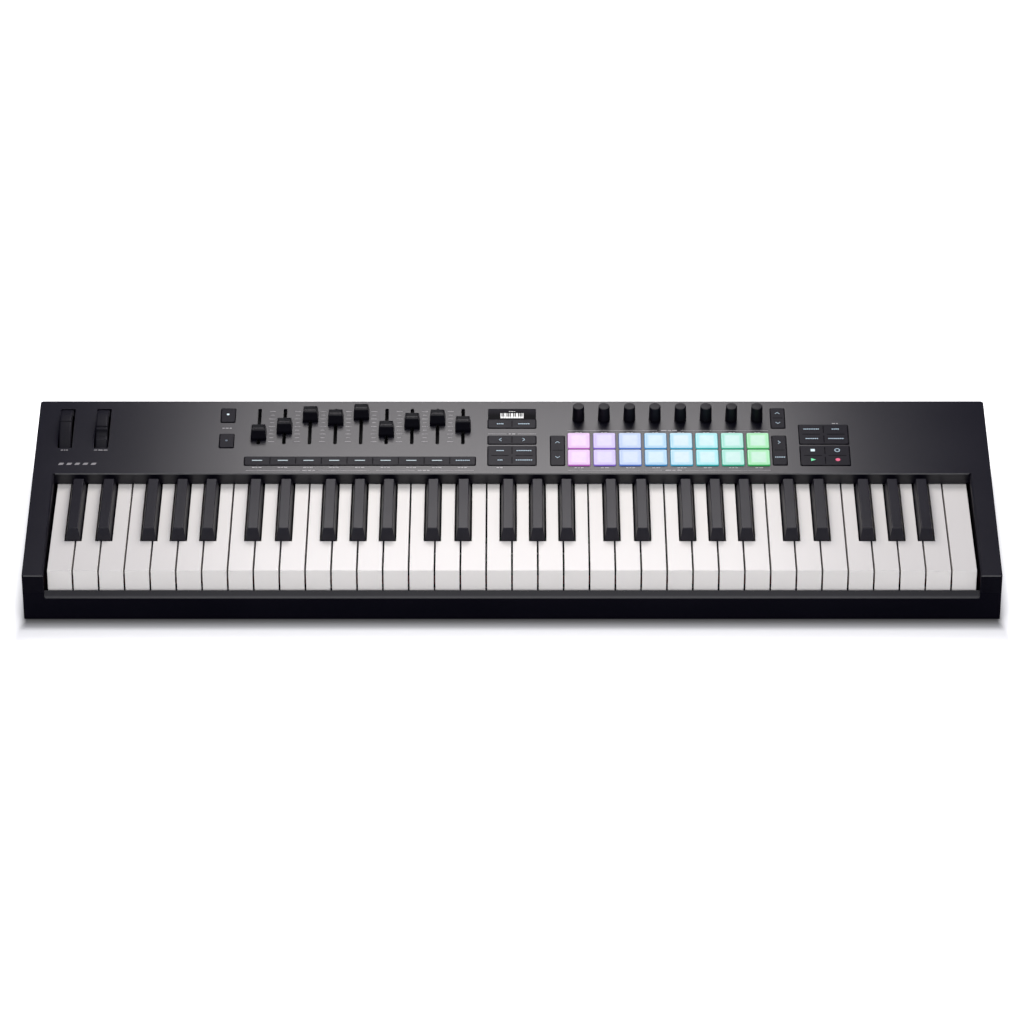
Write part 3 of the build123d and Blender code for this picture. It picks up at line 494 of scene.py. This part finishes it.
def add_white_key(mesh, index):
    """One white key: flat top, cut-outs for the sharps and a deep front lip under a rolled edge."""
    left = KEYS_LEFT + index * PITCH + KEY_GAP / 2 * MM
    right = left + PITCH - KEY_GAP * MM
    outline = white_outline(index, left, right, KEY_FRONT + FRONT_ROUND, NOTCH, KEY_REAR)
    underside = KEY_TOP - KEY_DEPTH
    back = KEY_FRONT + LIP_THICKNESS
    # the lip hangs from the front edge, so the outline gains two points where it ends
    ring = outline[:2] + [(right, back)] + outline[2:] + [(left, back)]
    top = [mesh.verts.new((x, y, KEY_TOP)) for x, y in ring]
    count = len(ring)
    low = {i: mesh.verts.new((*ring[i], underside)) for i in range(2, count)}
    mesh.faces.new(top)
    for i in range(2, count - 1):
        mesh.faces.new((low[i], low[i + 1], top[i + 1], top[i]))
    roll = [(top[0], top[1])]
    for step in range(1, 6):
        turn = math.radians(18 * step)
        y = KEY_FRONT + FRONT_ROUND * (1 - math.sin(turn))
        z = KEY_TOP - FRONT_ROUND * (1 - math.cos(turn))
        roll.append((mesh.verts.new((left, y, z)), mesh.verts.new((right, y, z))))
    for upper, lower in zip(roll, roll[1:]):
        mesh.faces.new((lower[0], lower[1], upper[1], upper[0]))
    foot_z = KEY_TOP - LIP_DEPTH
    foot = [mesh.verts.new((x, y, foot_z)) for x, y in
            ((left, back), (left, KEY_FRONT), (right, KEY_FRONT), (right, back))]
    mesh.faces.new((foot[1], foot[2], roll[-1][1], roll[-1][0]))
    mesh.faces.new([foot[0], foot[1]] + [pair[0] for pair in reversed(roll)] + [top[-1], low[count - 1]])
    mesh.faces.new([foot[2], foot[3], low[2], top[2]] + [pair[1] for pair in roll])
    mesh.faces.new((foot[3], foot[0], low[count - 1], low[2]))
    mesh.faces.new((foot[0], foot[3], foot[2], foot[1]))
    mesh.faces.new([low[i] for i in range(count - 1, 1, -1)])


def add_sharp(mesh, index):
    """One sharp: shank, tapered block and sloping front."""
    centre = KEYS_LEFT + (index + 1) * PITCH + SHARP_OFFSETS[index % 7] * MM
    base = SHARP_BASE / 2 * MM
    top = SHARP_TOP / 2 * MM
    low_z = KEY_TOP - KEY_DEPTH
    waist = KEY_TOP + 0.6 * MM
    rings = []
    for half, front, rear, z in (
        (base, SHARP_FRONT, SHARP_BASE_REAR, low_z),
        (base, SHARP_FRONT, SHARP_BASE_REAR, waist),
        (top, SHARP_TOP_FRONT, SHARP_TOP_REAR, KEY_TOP + SHARP_HEIGHT),
    ):
        rings.append([(centre - half, front, z), (centre + half, front, z), (centre + half, rear, z),
                      (centre - half, rear, z)])
    add_rings(mesh, rings)
    neck = 4.5 * MM
    lower = [(centre - neck, SHARP_BASE_REAR - MM, low_z), (centre + neck, SHARP_BASE_REAR - MM, low_z),
             (centre + neck, KEY_REAR, low_z), (centre - neck, KEY_REAR, low_z)]
    upper = [(x, y, KEY_TOP - 0.4 * MM) for x, y, _ in lower]
    add_prism(mesh, lower, upper)


def build_keys():
    """Naturals and sharps, one piece for each CAD key set."""
    white = MATERIALS["white_key"]
    black = MATERIALS["black_key"]
    for octave in range(5):
        for name, steps in (("keys_ceg_b", (0, 2, 4, 6)), ("keys_dfa", (1, 3, 5))):
            mesh = bmesh.new()
            for step in steps:
                add_white_key(mesh, octave * 7 + step)
            node = f"{name}_{octave + 1}"
            finish_piece(f"naturals_{name[5:]}_{octave + 1}", mesh, white, node, [node], 0.3, 3)
        mesh = bmesh.new()
        for step in SHARP_OFFSETS:
            add_sharp(mesh, octave * 7 + step)
        node = f"keys_sharps_{octave + 1}"
        finish_piece(f"sharps_{octave + 1}", mesh, black, node, [node], 0.6, 3, 25)
    mesh = bmesh.new()
    add_white_key(mesh, WHITE_COUNT - 1)
    finish_piece("natural_top_c", mesh, white, "key_top_c", ["key_top_c"], 0.3, 3)


# ---------------------------------------------------------------- pads
# (pale middle, clear border, deep rim)
PAD_TINTS = [
    ((0.96, 0.75, 0.97), (0.91, 0.60, 0.95), (0.60, 0.14, 0.66)),
    ((0.81, 0.74, 0.96), (0.70, 0.58, 0.96), (0.28, 0.16, 0.78)),
    ((0.71, 0.81, 0.96), (0.54, 0.67, 0.96), (0.10, 0.22, 0.76)),
    ((0.70, 0.89, 0.96), (0.43, 0.72, 0.96), (0.05, 0.32, 0.72)),
    ((0.75, 0.92, 0.97), (0.48, 0.82, 0.98), (0.05, 0.45, 0.70)),
    ((0.70, 0.96, 0.97), (0.39, 0.91, 0.95), (0.03, 0.52, 0.55)),
    ((0.69, 0.97, 0.91), (0.38, 0.88, 0.72), (0.03, 0.50, 0.30)),
    ((0.66, 0.97, 0.77), (0.36, 0.91, 0.44), (0.04, 0.50, 0.12)),
]


def build_pads():
    """Sixteen lit pads: bright soft top, paler bevel and a deeper coloured edge."""
    for row_name, row in PAD_ROWS.items():
        for column, (centre, bright, deep) in enumerate(PAD_TINTS):
            x = KNOB_FIRST_X + column * COLUMN_PITCH
            half_x = PAD_SIZE[0] / 2
            half_p = PAD_SIZE[1] / 2
            # (inset from the outline, height, corner radius)
            profile = ((0, -6.0, 1.4), (0, 0.9, 1.4), (0.12, 1.2, 1.35), (0.45, 1.52, 1.2), (0.9, 1.6, 1.0),
                       (1.5, 1.56, 0.9), (2.0, 1.5, 0.8), (4.5, 1.44, 0.8))
            rings = []
            for inset, height, radius in profile:
                outline = rounded(x - half_x + inset, x + half_x - inset, row - half_p + inset,
                                  row + half_p - inset, radius)
                rings.append([panel(px, pp, height) for px, pp in outline])
            mesh = bmesh.new()
            layer = mesh.loops.layers.float_color.new("tint")
            add_rings(mesh, rings)
            mesh.verts.index_update()
            middle = tuple((a + b) / 2 for a, b in zip(bright, deep))
            shades = (deep, deep, middle, bright, centre, bright, bright, centre)
            for face in mesh.faces:
                for loop in face.loops:
                    loop[layer] = (*shades[loop.vert.index // len(rings[0])], 1.0)
            replaces = [f"pads_{row_name}"] if column == 0 else ()
            finish_piece(f"pad_{row_name}_{column + 1}", mesh, MATERIALS["pad_silicone"], f"pads_{row_name}",
                         replaces, angle=60)


# ---------------------------------------------------------------- knobs and faders
def build_knobs():
    """Eight knobs turned from one profile: slight taper, soft shoulder and a flat top."""
    foot, shoulder, top, soft = 5.75, 5.25, 15.8, 0.8
    profile = [(foot - 0.25, 0.7), (foot, 0.95), (foot, 1.6), (shoulder, top - soft)]
    for step in range(1, 6):
        turn = math.radians(18 * step)
        profile.append((shoulder - soft + soft * math.cos(turn), top - soft + soft * math.sin(turn)))
    steps = 64
    circle = [2 * math.pi * step / steps for step in range(steps)]
    for column in range(8):
        x = KNOB_FIRST_X + column * COLUMN_PITCH
        mesh = bmesh.new()
        add_rings(mesh, [[panel(x + r * math.cos(a), KNOB_ROW + r * math.sin(a), h) for a in circle]
                         for r, h in profile])
        add_prism(mesh, *[[panel(x + 3 * math.cos(a), KNOB_ROW + 3 * math.sin(a), h) for a in circle[::3]]
                          for h in (-8.0, 0.9)])
        name = f"knob_{column + 1}"
        finish_piece(f"knob_cap_{column + 1}", mesh, MATERIALS["knob_black"], name, [name],
                     angle=50)


def build_faders():
    """Fader caps: broad skirt, sloping front and a finger dish between two side walls, on a lever."""
    # side view over the top as (along the slope, height, how deep the dish is there)
    near = ((-7.0, 0.6, 0), (-7.0, 1.8, 0), (-6.2, 3.2, 0), (-4.4, 7.4, 0), (-3.5, 9.2, 0), (-2.5, 9.7, 0))
    dish = tuple((-2.5 + 6.6 * i / 8, 9.7 + 0.7 * i / 8, 1.5 * math.sin(math.pi * i / 8)) for i in range(1, 8))
    far = ((4.1, 10.4, 0), (5.2, 9.6, 0), (6.0, 5.0, 0), (7.0, 1.8, 0), (7.0, 0.6, 0))
    profile = near + dish + far
    skirt, taper, wall, step_in = 7.5, 1.125 / 9.8, 0.55, 1.0
    for column in range(9):
        node = f"fader_{column + 1}"
        low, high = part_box(node)
        rest_y = (low.y + high.y) / 2
        x = (low.x + high.x) / 2 / MM
        p = KNOB_ROW + (rest_y - KNOB_ONE.y) / SLOPE.y / MM
        mesh = bmesh.new()
        rows = []
        for along, height, depth in profile:
            half = skirt - (height - 0.6) * taper
            across = [(-half, 0), (-half + wall, 0), (-half + step_in, depth), (half - step_in, depth),
                      (half - wall, 0), (half, 0)]
            rows.append([mesh.verts.new(panel(x + u, p + along, height - drop)) for u, drop in across])
        for i in range(len(rows)):
            this, after = rows[i], rows[(i + 1) % len(rows)]
            for k in range(len(this) - 1):
                mesh.faces.new((this[k], this[k + 1], after[k + 1], after[k]))
        mesh.faces.new([row[0] for row in rows])
        mesh.faces.new([row[-1] for row in reversed(rows)])
        for a, b, c, d, e, f in ((-0.6, 0.6, -2.0, 2.0, -7.6, 1.0), (-1.6, 1.6, -3.4, 3.4, 0.1, 1.0)):
            add_prism(mesh, [panel(x + u, p + v, e) for u, v in ((a, c), (b, c), (b, d), (a, d))],
                      [panel(x + u, p + v, f) for u, v in ((a, c), (b, c), (b, d), (a, d))])
        finish_piece(f"fader_cap_{column + 1}", mesh, MATERIALS["control_black"], node, [node],
                     0.42, 3, 35)


# ---------------------------------------------------------------- wheels
WHEEL_RADIUS = 35.5


def build_wheels():
    """Pitch and modulation wheels: rounded rim, notch line and, on the modulation wheel, a finger scoop."""
    def rim(kind, angle):
        """How far the rim is cut back at an angle from the panel normal, positive to the rear."""
        depth = 0.0
        line = -7.4 if kind == "pitch_wheel" else -17.3
        if abs(angle - line) < 1.6:
            depth = 1.0 * math.cos((angle - line) / 1.6 * math.pi / 2)
        if kind == "mod_wheel" and abs(angle + 31.0) < 8.5:
            depth = 2.5 * math.cos((angle + 31.0) / 8.5 * math.pi / 2) ** 0.8
        return depth

    tilt = math.degrees(math.atan2(SLOPE.z, SLOPE.y))
    angles = []
    angle = -180.0
    while angle < 180.0:
        angles.append(angle)
        angle += 0.4 if -45 < angle < 10 else 3.0
    for kind in ("pitch_wheel", "mod_wheel"):
        hub = Vector(joints[f"{kind}_turn"]["pos_m"])
        mesh = bmesh.new()
        rings = []
        # across the rim: (x from the middle, drop from the full radius)
        for across, drop in ((-4.0, 16.0), (-4.0, 6.0), (-5.5, 5.2), (-5.5, 0.9), (-5.2, 0.35), (-4.7, 0.06),
                             (-4.0, 0), (4.0, 0), (4.7, 0.06), (5.2, 0.35), (5.5, 0.9), (5.5, 5.2), (4.0, 6.0),
                             (4.0, 16.0)):
            ring = []
            for angle in angles:
                cut = rim(kind, angle) if drop < 4 else 0
                reach = (WHEEL_RADIUS - drop - cut) * MM
                turn = math.radians(angle - tilt)
                ring.append((hub.x + across * MM, hub.y + reach * math.sin(turn), hub.z + reach * math.cos(turn)))
            rings.append(ring)
        add_rings(mesh, rings)
        finish_piece(f"{kind}_rim", mesh, MATERIALS["wheel_rubber"], kind, [kind], angle=40)


# ---------------------------------------------------------------- legends and lights
class Ink:
    """Thin raised print or light guides, gathered into one piece."""

    def __init__(self, height=0.0, thickness=0.06):
        self.mesh = bmesh.new()
        self.low = height - 0.05
        self.high = height + thickness

    def fill(self, outline):
        """Closed shape."""
        area = sum(a[0] * b[1] - b[0] * a[1] for a, b in zip(outline, outline[1:] + outline[:1]))
        if area < 0:
            outline = list(reversed(outline))
        add_prism(self.mesh, [panel(x, p, self.low) for x, p in outline],
                  [panel(x, p, self.high) for x, p in outline])

    def bar(self, x, p, width, depth, radius=None):
        """Rectangle with round corners about a centre."""
        radius = min(width, depth) * 0.49 if radius is None else radius
        self.fill(rounded(x - width / 2, x + width / 2, p - depth / 2, p + depth / 2, radius, 3))

    def dot(self, x, p, radius):
        """Round dot."""
        self.fill([(x + radius * math.cos(math.pi * i / 9), p + radius * math.sin(math.pi * i / 9)) for i in range(18)])

    def line(self, points, width=0.5, closed=False):
        """Stroke along points, each span a quad with its own ends."""
        pairs = list(zip(points, points[1:]))
        if closed:
            pairs.append((points[-1], points[0]))
        for (x0, p0), (x1, p1) in pairs:
            length = math.hypot(x1 - x0, p1 - p0)
            along = ((x1 - x0) / length, (p1 - p0) / length)
            half = width / 2
            side = (-along[1] * half, along[0] * half)
            a = (x0 - along[0] * half * 0.7, p0 - along[1] * half * 0.7)
            b = (x1 + along[0] * half * 0.7, p1 + along[1] * half * 0.7)
            self.fill([(a[0] - side[0], a[1] - side[1]), (b[0] - side[0], b[1] - side[1]),
                       (b[0] + side[0], b[1] + side[1]), (a[0] + side[0], a[1] + side[1])])

    def arc(self, x, p, radius, start, end, width=0.5, steps=12):
        """Stroke along part of a circle."""
        turns = [math.radians(start + (end - start) * i / steps) for i in range(steps + 1)]
        self.line([(x + radius * math.cos(t), p + radius * math.sin(t)) for t in turns], width)

    def dashes(self, x, p, widths, depth=0.9, gap=0.7):
        """Row of short dashes in place of a printed word."""
        total = sum(widths) + gap * (len(widths) - 1)
        left = x - total / 2
        for width in widths:
            self.bar(left + width / 2, p, width, depth)
            left += width + gap

    def word(self, x, p, width, depth=1.3):
        """Run of letter-sized dashes filling a given width, in place of a small word."""
        count = max(2, round(width / 1.7))
        gap = 0.45
        self.dashes(x, p, [(width - gap * (count - 1)) / count] * count, depth, gap)

    def done(self, name, material, body):
        """Turn the gathered print into one piece."""
        return finish_piece(name, self.mesh, material, body, angle=30)


def build_panel_print():
    """Printed scales, rules and short dashes on the panel."""
    ink = Ink()
    scale = Ink()
    centre, step = FADER_SCALE
    for gap in range(8):
        x = FADER_FIRST_X + (gap + 0.5) * COLUMN_PITCH
        for tick in range(9):
            width = 5.8 if tick % 2 == 0 else 3.9
            scale.bar(x, centre + (tick - 4) * step, width, 0.7)
    for column in range(9):
        ink.dashes(FADER_FIRST_X + column * COLUMN_PITCH, 9.5, (2.6, 1.8, 3.2))
    for left, right in ((-248.7, -198.4), (-181.3, -133.3), (-126.8, -90.6), (-74.7, -35.7)):
        scale.bar((left + right) / 2, 5.0, right - left, 0.5)
    ink.dashes(-189.8, 5.0, (4.2, 3.4, 3.0))
    ink.dashes(-82.6, 5.0, (4.0, 3.2, 2.6))
    ink.dashes(-268.9, 68.8, (2.4, 3.0, 2.2))
    ink.dashes(-420.4, 35.6, (2.2, 1.6, 1.6))
    ink.dashes(-386.2, 35.6, (3.2, 4.6, 3.6))
    for left, right in ((-22.6, -5.2), (5.2, 22.6)):
        scale.bar((left + right) / 2, 60.0, right - left, 0.5)
    ink.dashes(0, 60.0, (2.2, 3.4))
    ink.dashes(-11.6, 9.2, (2.6, 2.4), 0.8)
    ink.dashes(305.0, 75.9, (3.2, 1.8), 0.8)
    pad_left = KNOB_FIRST_X - PAD_SIZE[0] / 2
    pad_right = KNOB_FIRST_X + 7 * COLUMN_PITCH + PAD_SIZE[0] / 2
    for p, gap_x in ((65.2, 148.0), (5.2, 151.0)):
        scale.bar((pad_left + gap_x - 11) / 2, p, gap_x - 11 - pad_left, 0.5)
        scale.bar((gap_x + 11 + pad_right) / 2, p, pad_right - gap_x - 11, 0.5)
        ink.dashes(gap_x, p, (5.6, 3.6, 4.6), 1.0)
    for column in range(8):
        x = KNOB_FIRST_X + column * COLUMN_PITCH
        ink.dashes(x, 62.2, (2.4, 3.0) if column % 2 else (3.4, 2.2), 0.8)
        ink.dashes(x, 9.0, (3.0, 3.8) if column % 2 else (2.4, 2.0, 2.8), 0.8)
    ink.done("panel_print", PRINT, "case")
    scale.done("panel_rules", FAINT, "case")
    mark = Ink()
    for i in range(5):
        x = -422.0 + i * 7.6
        mark.fill([(x - 2.8, 13.4), (x + 1.4, 13.4), (x + 2.8, 16.4), (x - 1.4, 16.4)])
    mark.done("corner_mark", FAINT, "case")


def chevron(ink, x, p, direction, size=2.0):
    """Arrow head made of two strokes; direction is up, down, left or right."""
    dx, dp = {"up": (0, 1), "down": (0, -1), "left": (-1, 0), "right": (1, 0)}[direction]
    tip = (x + dx * size * 0.5, p + dp * size * 0.5)
    back = (x - dx * size * 0.5, p - dp * size * 0.5)
    side = (dp * size, dx * size)
    ink.line([(back[0] + side[0], back[1] + side[1]), tip, (back[0] - side[0], back[1] - side[1])], 0.42)


# places and widths of the small words on the keys
SCREEN_WORDS = [(-11.2, 74.6, 6.3), (11.2, 74.6, 10.6), (-11.2, 34.0, 6.9), (11.2, 34.0, 14.0), (-11.2, 19.8, 4.6),
                (11.2, 19.8, 15.4)]
TRANSPORT_WORDS = [(282.2, 66.6, 14.6), (304.9, 66.6, 6.9), (282.2, 52.2, 11.7), (304.9, 52.2, 14.4)]


def build_button_lights():
    """Lit symbols and light bars on the key mats, riding with their buttons."""
    top = BUTTON_RISE
    bars = Ink(top)
    for column in range(8):
        bars.bar(FADER_FIRST_X + column * COLUMN_PITCH, 19.3, 9.6, 0.8)
    bars.done("fader_button_bars", LED, "fader_buttons")
    last = Ink(top)
    last.word(FADER_FIRST_X + 8 * COLUMN_PITCH, 19.3, 13.0)
    last.done("fader_button_symbol", GLOW, "fader_buttons")

    octave = Ink(top)
    octave.dot(-268.7, 89.0, 1.3)
    octave.done("octave_light_up", LED, "octave_buttons")
    low = Ink(top)
    low.dot(-268.7, 49.3, 1.2)
    low.done("octave_light_down", DIM, "octave_buttons")

    screen = Ink(top)
    for x, p, width in SCREEN_WORDS:
        screen.word(x, p, width)
    chevron(screen, -11.0, 50.6, "left")
    chevron(screen, 11.1, 50.6, "right")
    screen.done("screen_button_symbols", GLOW, "screen_buttons")

    side = Ink(top)
    chevron(side, 42.7, 46.6, "up")
    chevron(side, 42.7, 24.2, "down")
    chevron(side, 251.1, 91.0, "up")
    chevron(side, 251.2, 76.0, "down")
    chevron(side, 251.3, 46.6, "right")
    side.word(251.3, 24.2, 9.4)
    side.done("side_button_symbols", GLOW, "side_buttons")

    transport = Ink(top)
    for x, p, width in TRANSPORT_WORDS:
        transport.word(x, p, width)
    transport.arc(305.3, 34.6, 2.3, 20, 340, 0.6, 16)
    transport.line([(305.9, 37.0), (307.6, 35.5), (306.9, 33.4)], 0.5)
    transport.done("transport_symbols", GLOW, "transport_buttons")
    stop = Ink(top)
    stop.bar(282.3, 34.6, 4.0, 3.6, 0.6)
    stop.done("transport_stop", LED, "transport_buttons")
    play = Ink(top)
    play.fill([(280.2, 18.3), (284.6, 20.4), (280.2, 22.5)])
    play.done("transport_play", PLAY, "transport_buttons")
    rec = Ink(top)
    rec.dot(305.3, 20.4, 2.2)
    rec.done("transport_record", RECORD, "transport_buttons")


# mats of each button body as (left, right, near, far, columns, rows)
MAT_BLOCKS = {
    "octave_buttons": [(-275.2, -261.7, 38.6, 59.7, 1, 1), (-275.2, -261.7, 77.2, 98.5, 1, 1)],
    "fader_buttons": [(-250.7, -34.2, 12.3, 25.2, 9, 1)],
    "screen_buttons": [(-22.7, 22.7, 68.2, 81.6, 2, 1), (-22.7, 22.7, 44.0, 56.9, 2, 1),
                       (-22.7, 22.7, 12.1, 41.2, 2, 2)],
    "side_buttons": [(36.1, 49.4, 12.1, 56.9, 1, 2), (244.5, 257.8, 68.2, 98.7, 1, 2),
                     (244.5, 257.8, 12.6, 57.0, 1, 2)],
    "transport_buttons": [(270.4, 316.8, 44.0, 73.5, 2, 2), (270.4, 316.8, 12.0, 41.3, 2, 2)],
}


def build_mat_grooves():
    """Painted shade: dark strips laid over the grooves between the keys of a mat and round each mat, standing in for
    the shade in the grooves and the gap.
    """
    for body, blocks in MAT_BLOCKS.items():
        # painted shade in the grooves between keys and in the gap round each mat
        groove_shade = Ink(BUTTON_RISE, 0.03)
        surround_shade = Ink(0.0, 0.03)
        for left, right, near, far, columns, rows in blocks:
            step_x, step_p = (right - left) / columns, (far - near) / rows
            for row in range(rows):
                p = near + (row + 0.5) * step_p
                for column in range(1, columns):
                    groove_shade.bar(left + column * step_x, p, 0.8, step_p * 0.72, 0.2)
            for row in range(1, rows):
                for column in range(columns):
                    groove_shade.bar(left + (column + 0.5) * step_x, near + row * step_p, step_x * 0.72, 0.8, 0.2)
            surround_shade.line(rounded(left - 0.2, right + 0.2, near - 0.2, far + 0.2, 1.6, 4), 0.7, True)
        if any(columns * rows > 1 for *_, columns, rows in blocks):
            groove_shade.done(f"{body}_groove_shades", GROOVE_SHADE, body)
        else:
            groove_shade.mesh.free()
        surround_shade.done(f"{body}_surround", GROOVE_SHADE, "case")


def build_display():
    """Picture on the display: a small run of piano keys with a level line above it."""
    screen = Ink(-0.2, 0.05)
    width = 22.0
    keys = 14
    step = width / keys
    sharps = {0, 1, 3, 4, 5}
    for i in range(keys):
        x = -width / 2 + (i + 0.5) * step
        screen.bar(x, 85.5, step * 0.86, 2.6, 0.15)
        left = step * (0.18 if (i - 1) % 7 in sharps and i > 0 else 0.43)
        right = step * (0.18 if i % 7 in sharps and i < keys - 1 else 0.43)
        screen.bar(x + (right - left) / 2, 89.3, left + right, 5.2, 0.1)
    screen.dashes(0, 94.6, (1.6, 2.2, 1.2), 0.5, 0.5)
    screen.done("display_picture", SCREEN, "case")


# ---------------------------------------------------------------- studio
CAMERA_ELEVATION = 34.17
CAMERA_DISTANCE = 4.9306
CAMERA_AIM_HEIGHT = 0.0343
CAMERA_LENS = 185.6
KEY_FLOOR_Z = cad_low.z
REAR_LIGHT = Vector((0.0, 0.530, 0.745))
REAR_FACING = Vector((0.0, 0.717, 0.697))


def soft_box(name, place, target, size, radiance, colour=(1, 1, 1)):
    """Rectangular area light of a given brightness, hidden from the camera."""
    light = bpy.data.lights.new(name, "AREA")
    light.shape = "RECTANGLE"
    light.size, light.size_y = size
    light.energy = radiance * math.pi * size[0] * size[1]
    light.color = colour
    obj = bpy.data.objects.new(name, light)
    obj.location = place
    obj.rotation_mode = "QUATERNION"
    obj.rotation_quaternion = (Vector(target) - Vector(place)).to_track_quat("-Z", "Y")
    obj.visible_camera = False
    bpy.context.scene.collection.objects.link(obj)
    return obj


def build_studio():
    """Pale floor with a painted contact shadow, three soft lights, a dim sky and the camera."""
    floor_mesh = bmesh.new()
    bmesh.ops.create_grid(floor_mesh, x_segments=8, y_segments=8, size=9.0)
    mesh = bpy.data.meshes.new("floor")
    floor_mesh.to_mesh(mesh)
    floor_mesh.free()
    floor = bpy.data.objects.new("floor", mesh)
    floor.location.z = KEY_FLOOR_Z
    bpy.context.scene.collection.objects.link(floor)
    paper, tree, shader = new_material("paper_floor")
    tone = mix_colours(tree, remap(tree, noise(tree, 3.0), 0.3, 0.7, 0.0, 1.0), (0.92, 0.92, 0.92), (0.94, 0.94, 0.94))
    tree.links.new(tone, shader.inputs["Emission Color"])
    # painted shadow and painted light: next to the instrument the paper's colour is darkened and its emission lowered
    # as a painted contact shadow, and the emission rises away from it as painted light
    coords = tree.nodes.new("ShaderNodeTexCoord")
    split = tree.nodes.new("ShaderNodeSeparateXYZ")
    tree.links.new(coords.outputs["Object"], split.inputs["Vector"])
    beside = maths(tree, "SUBTRACT", maths(tree, "ABSOLUTE", split.outputs["X"]), cad_high.x)
    before = maths(tree, "SUBTRACT", maths(tree, "ABSOLUTE", split.outputs["Y"]), cad_high.y)
    away = maths(tree, "MAXIMUM", beside, before)
    painted_shadow_ramp = maths(tree, "MAXIMUM", remap(tree, before, 0.0, 0.014, 0.0, 1.0),
                 remap(tree, beside, -0.002, 0.005, 0.0, 1.0))
    # painted shadow: base colour darkened close to the instrument
    tree.links.new(mix_colours(tree, painted_shadow_ramp, (0.17, 0.17, 0.172), tone), shader.inputs["Base Color"])
    # painted light: emission lowest next to the instrument and rising with distance from it
    painted_light_ahead = maths(tree, "ADD", remap(tree, before, 0.006, 0.014, 0.0, 0.33),
                       remap(tree, before, 0.014, 0.035, 0.0, 0.22))
    painted_light_beside = remap(tree, beside, -0.002, 0.012, 0.06, 0.85)
    painted_light_near = maths(tree, "MAXIMUM", painted_light_ahead, painted_light_beside)
    painted_light_far = remap(tree, away, 0.035, 0.60, 0.0, 0.45)
    tree.links.new(maths(tree, "ADD", painted_light_near, painted_light_far), shader.inputs["Emission Strength"])
    shader.inputs["Roughness"].default_value = 0.9
    shader.inputs["Specular IOR Level"].default_value = 0.0
    mesh.materials.append(paper)
    floor.visible_glossy = False

    world = bpy.data.worlds.new("studio_sky")
    world.use_nodes = True
    nodes = world.node_tree.nodes
    links = world.node_tree.links
    back = nodes["Background"]
    coords = nodes.new("ShaderNodeTexCoord")
    split = nodes.new("ShaderNodeSeparateXYZ")
    links.new(coords.outputs["Generated"], split.inputs["Vector"])
    up = remap(world.node_tree, split.outputs["Z"], -0.1, 0.25, 0.02, 0.12)
    links.new(up, back.inputs["Strength"])
    back.inputs["Color"].default_value = (0.80, 0.80, 1.25, 1.0)
    bpy.context.scene.world = world

    soft_box("rear_box", REAR_LIGHT, REAR_LIGHT - REAR_FACING, (0.64, 0.47), 6.2, (1.0, 0.965, 0.965))
    soft_box("top_box", (0.0, -0.10, 1.15), (0, -0.02, 0), (0.9, 0.6), 1.75)
    soft_box("front_box", (0.0, -1.30, 1.60), (0, 0, 0.05), (1.5, 0.8), 4.6)

    camera = bpy.data.cameras.new("camera")
    camera.lens = CAMERA_LENS
    camera.sensor_width = 36.0
    camera.clip_end = 60.0
    obj = bpy.data.objects.new("camera", camera)
    tilt = math.radians(CAMERA_ELEVATION)
    aim = Vector((0, 0, CAMERA_AIM_HEIGHT))
    obj.location = aim + Vector((0, -math.cos(tilt), math.sin(tilt))) * CAMERA_DISTANCE
    obj.rotation_euler = (math.pi / 2 - tilt, 0, 0)
    bpy.context.scene.collection.objects.link(obj)
    bpy.context.scene.camera = obj
    bpy.context.scene.view_settings.view_transform = "Standard"


build_keys()
build_pads()
build_knobs()
build_faders()
build_wheels()
build_panel_print()
build_button_lights()
build_mat_grooves()
build_display()
build_studio()
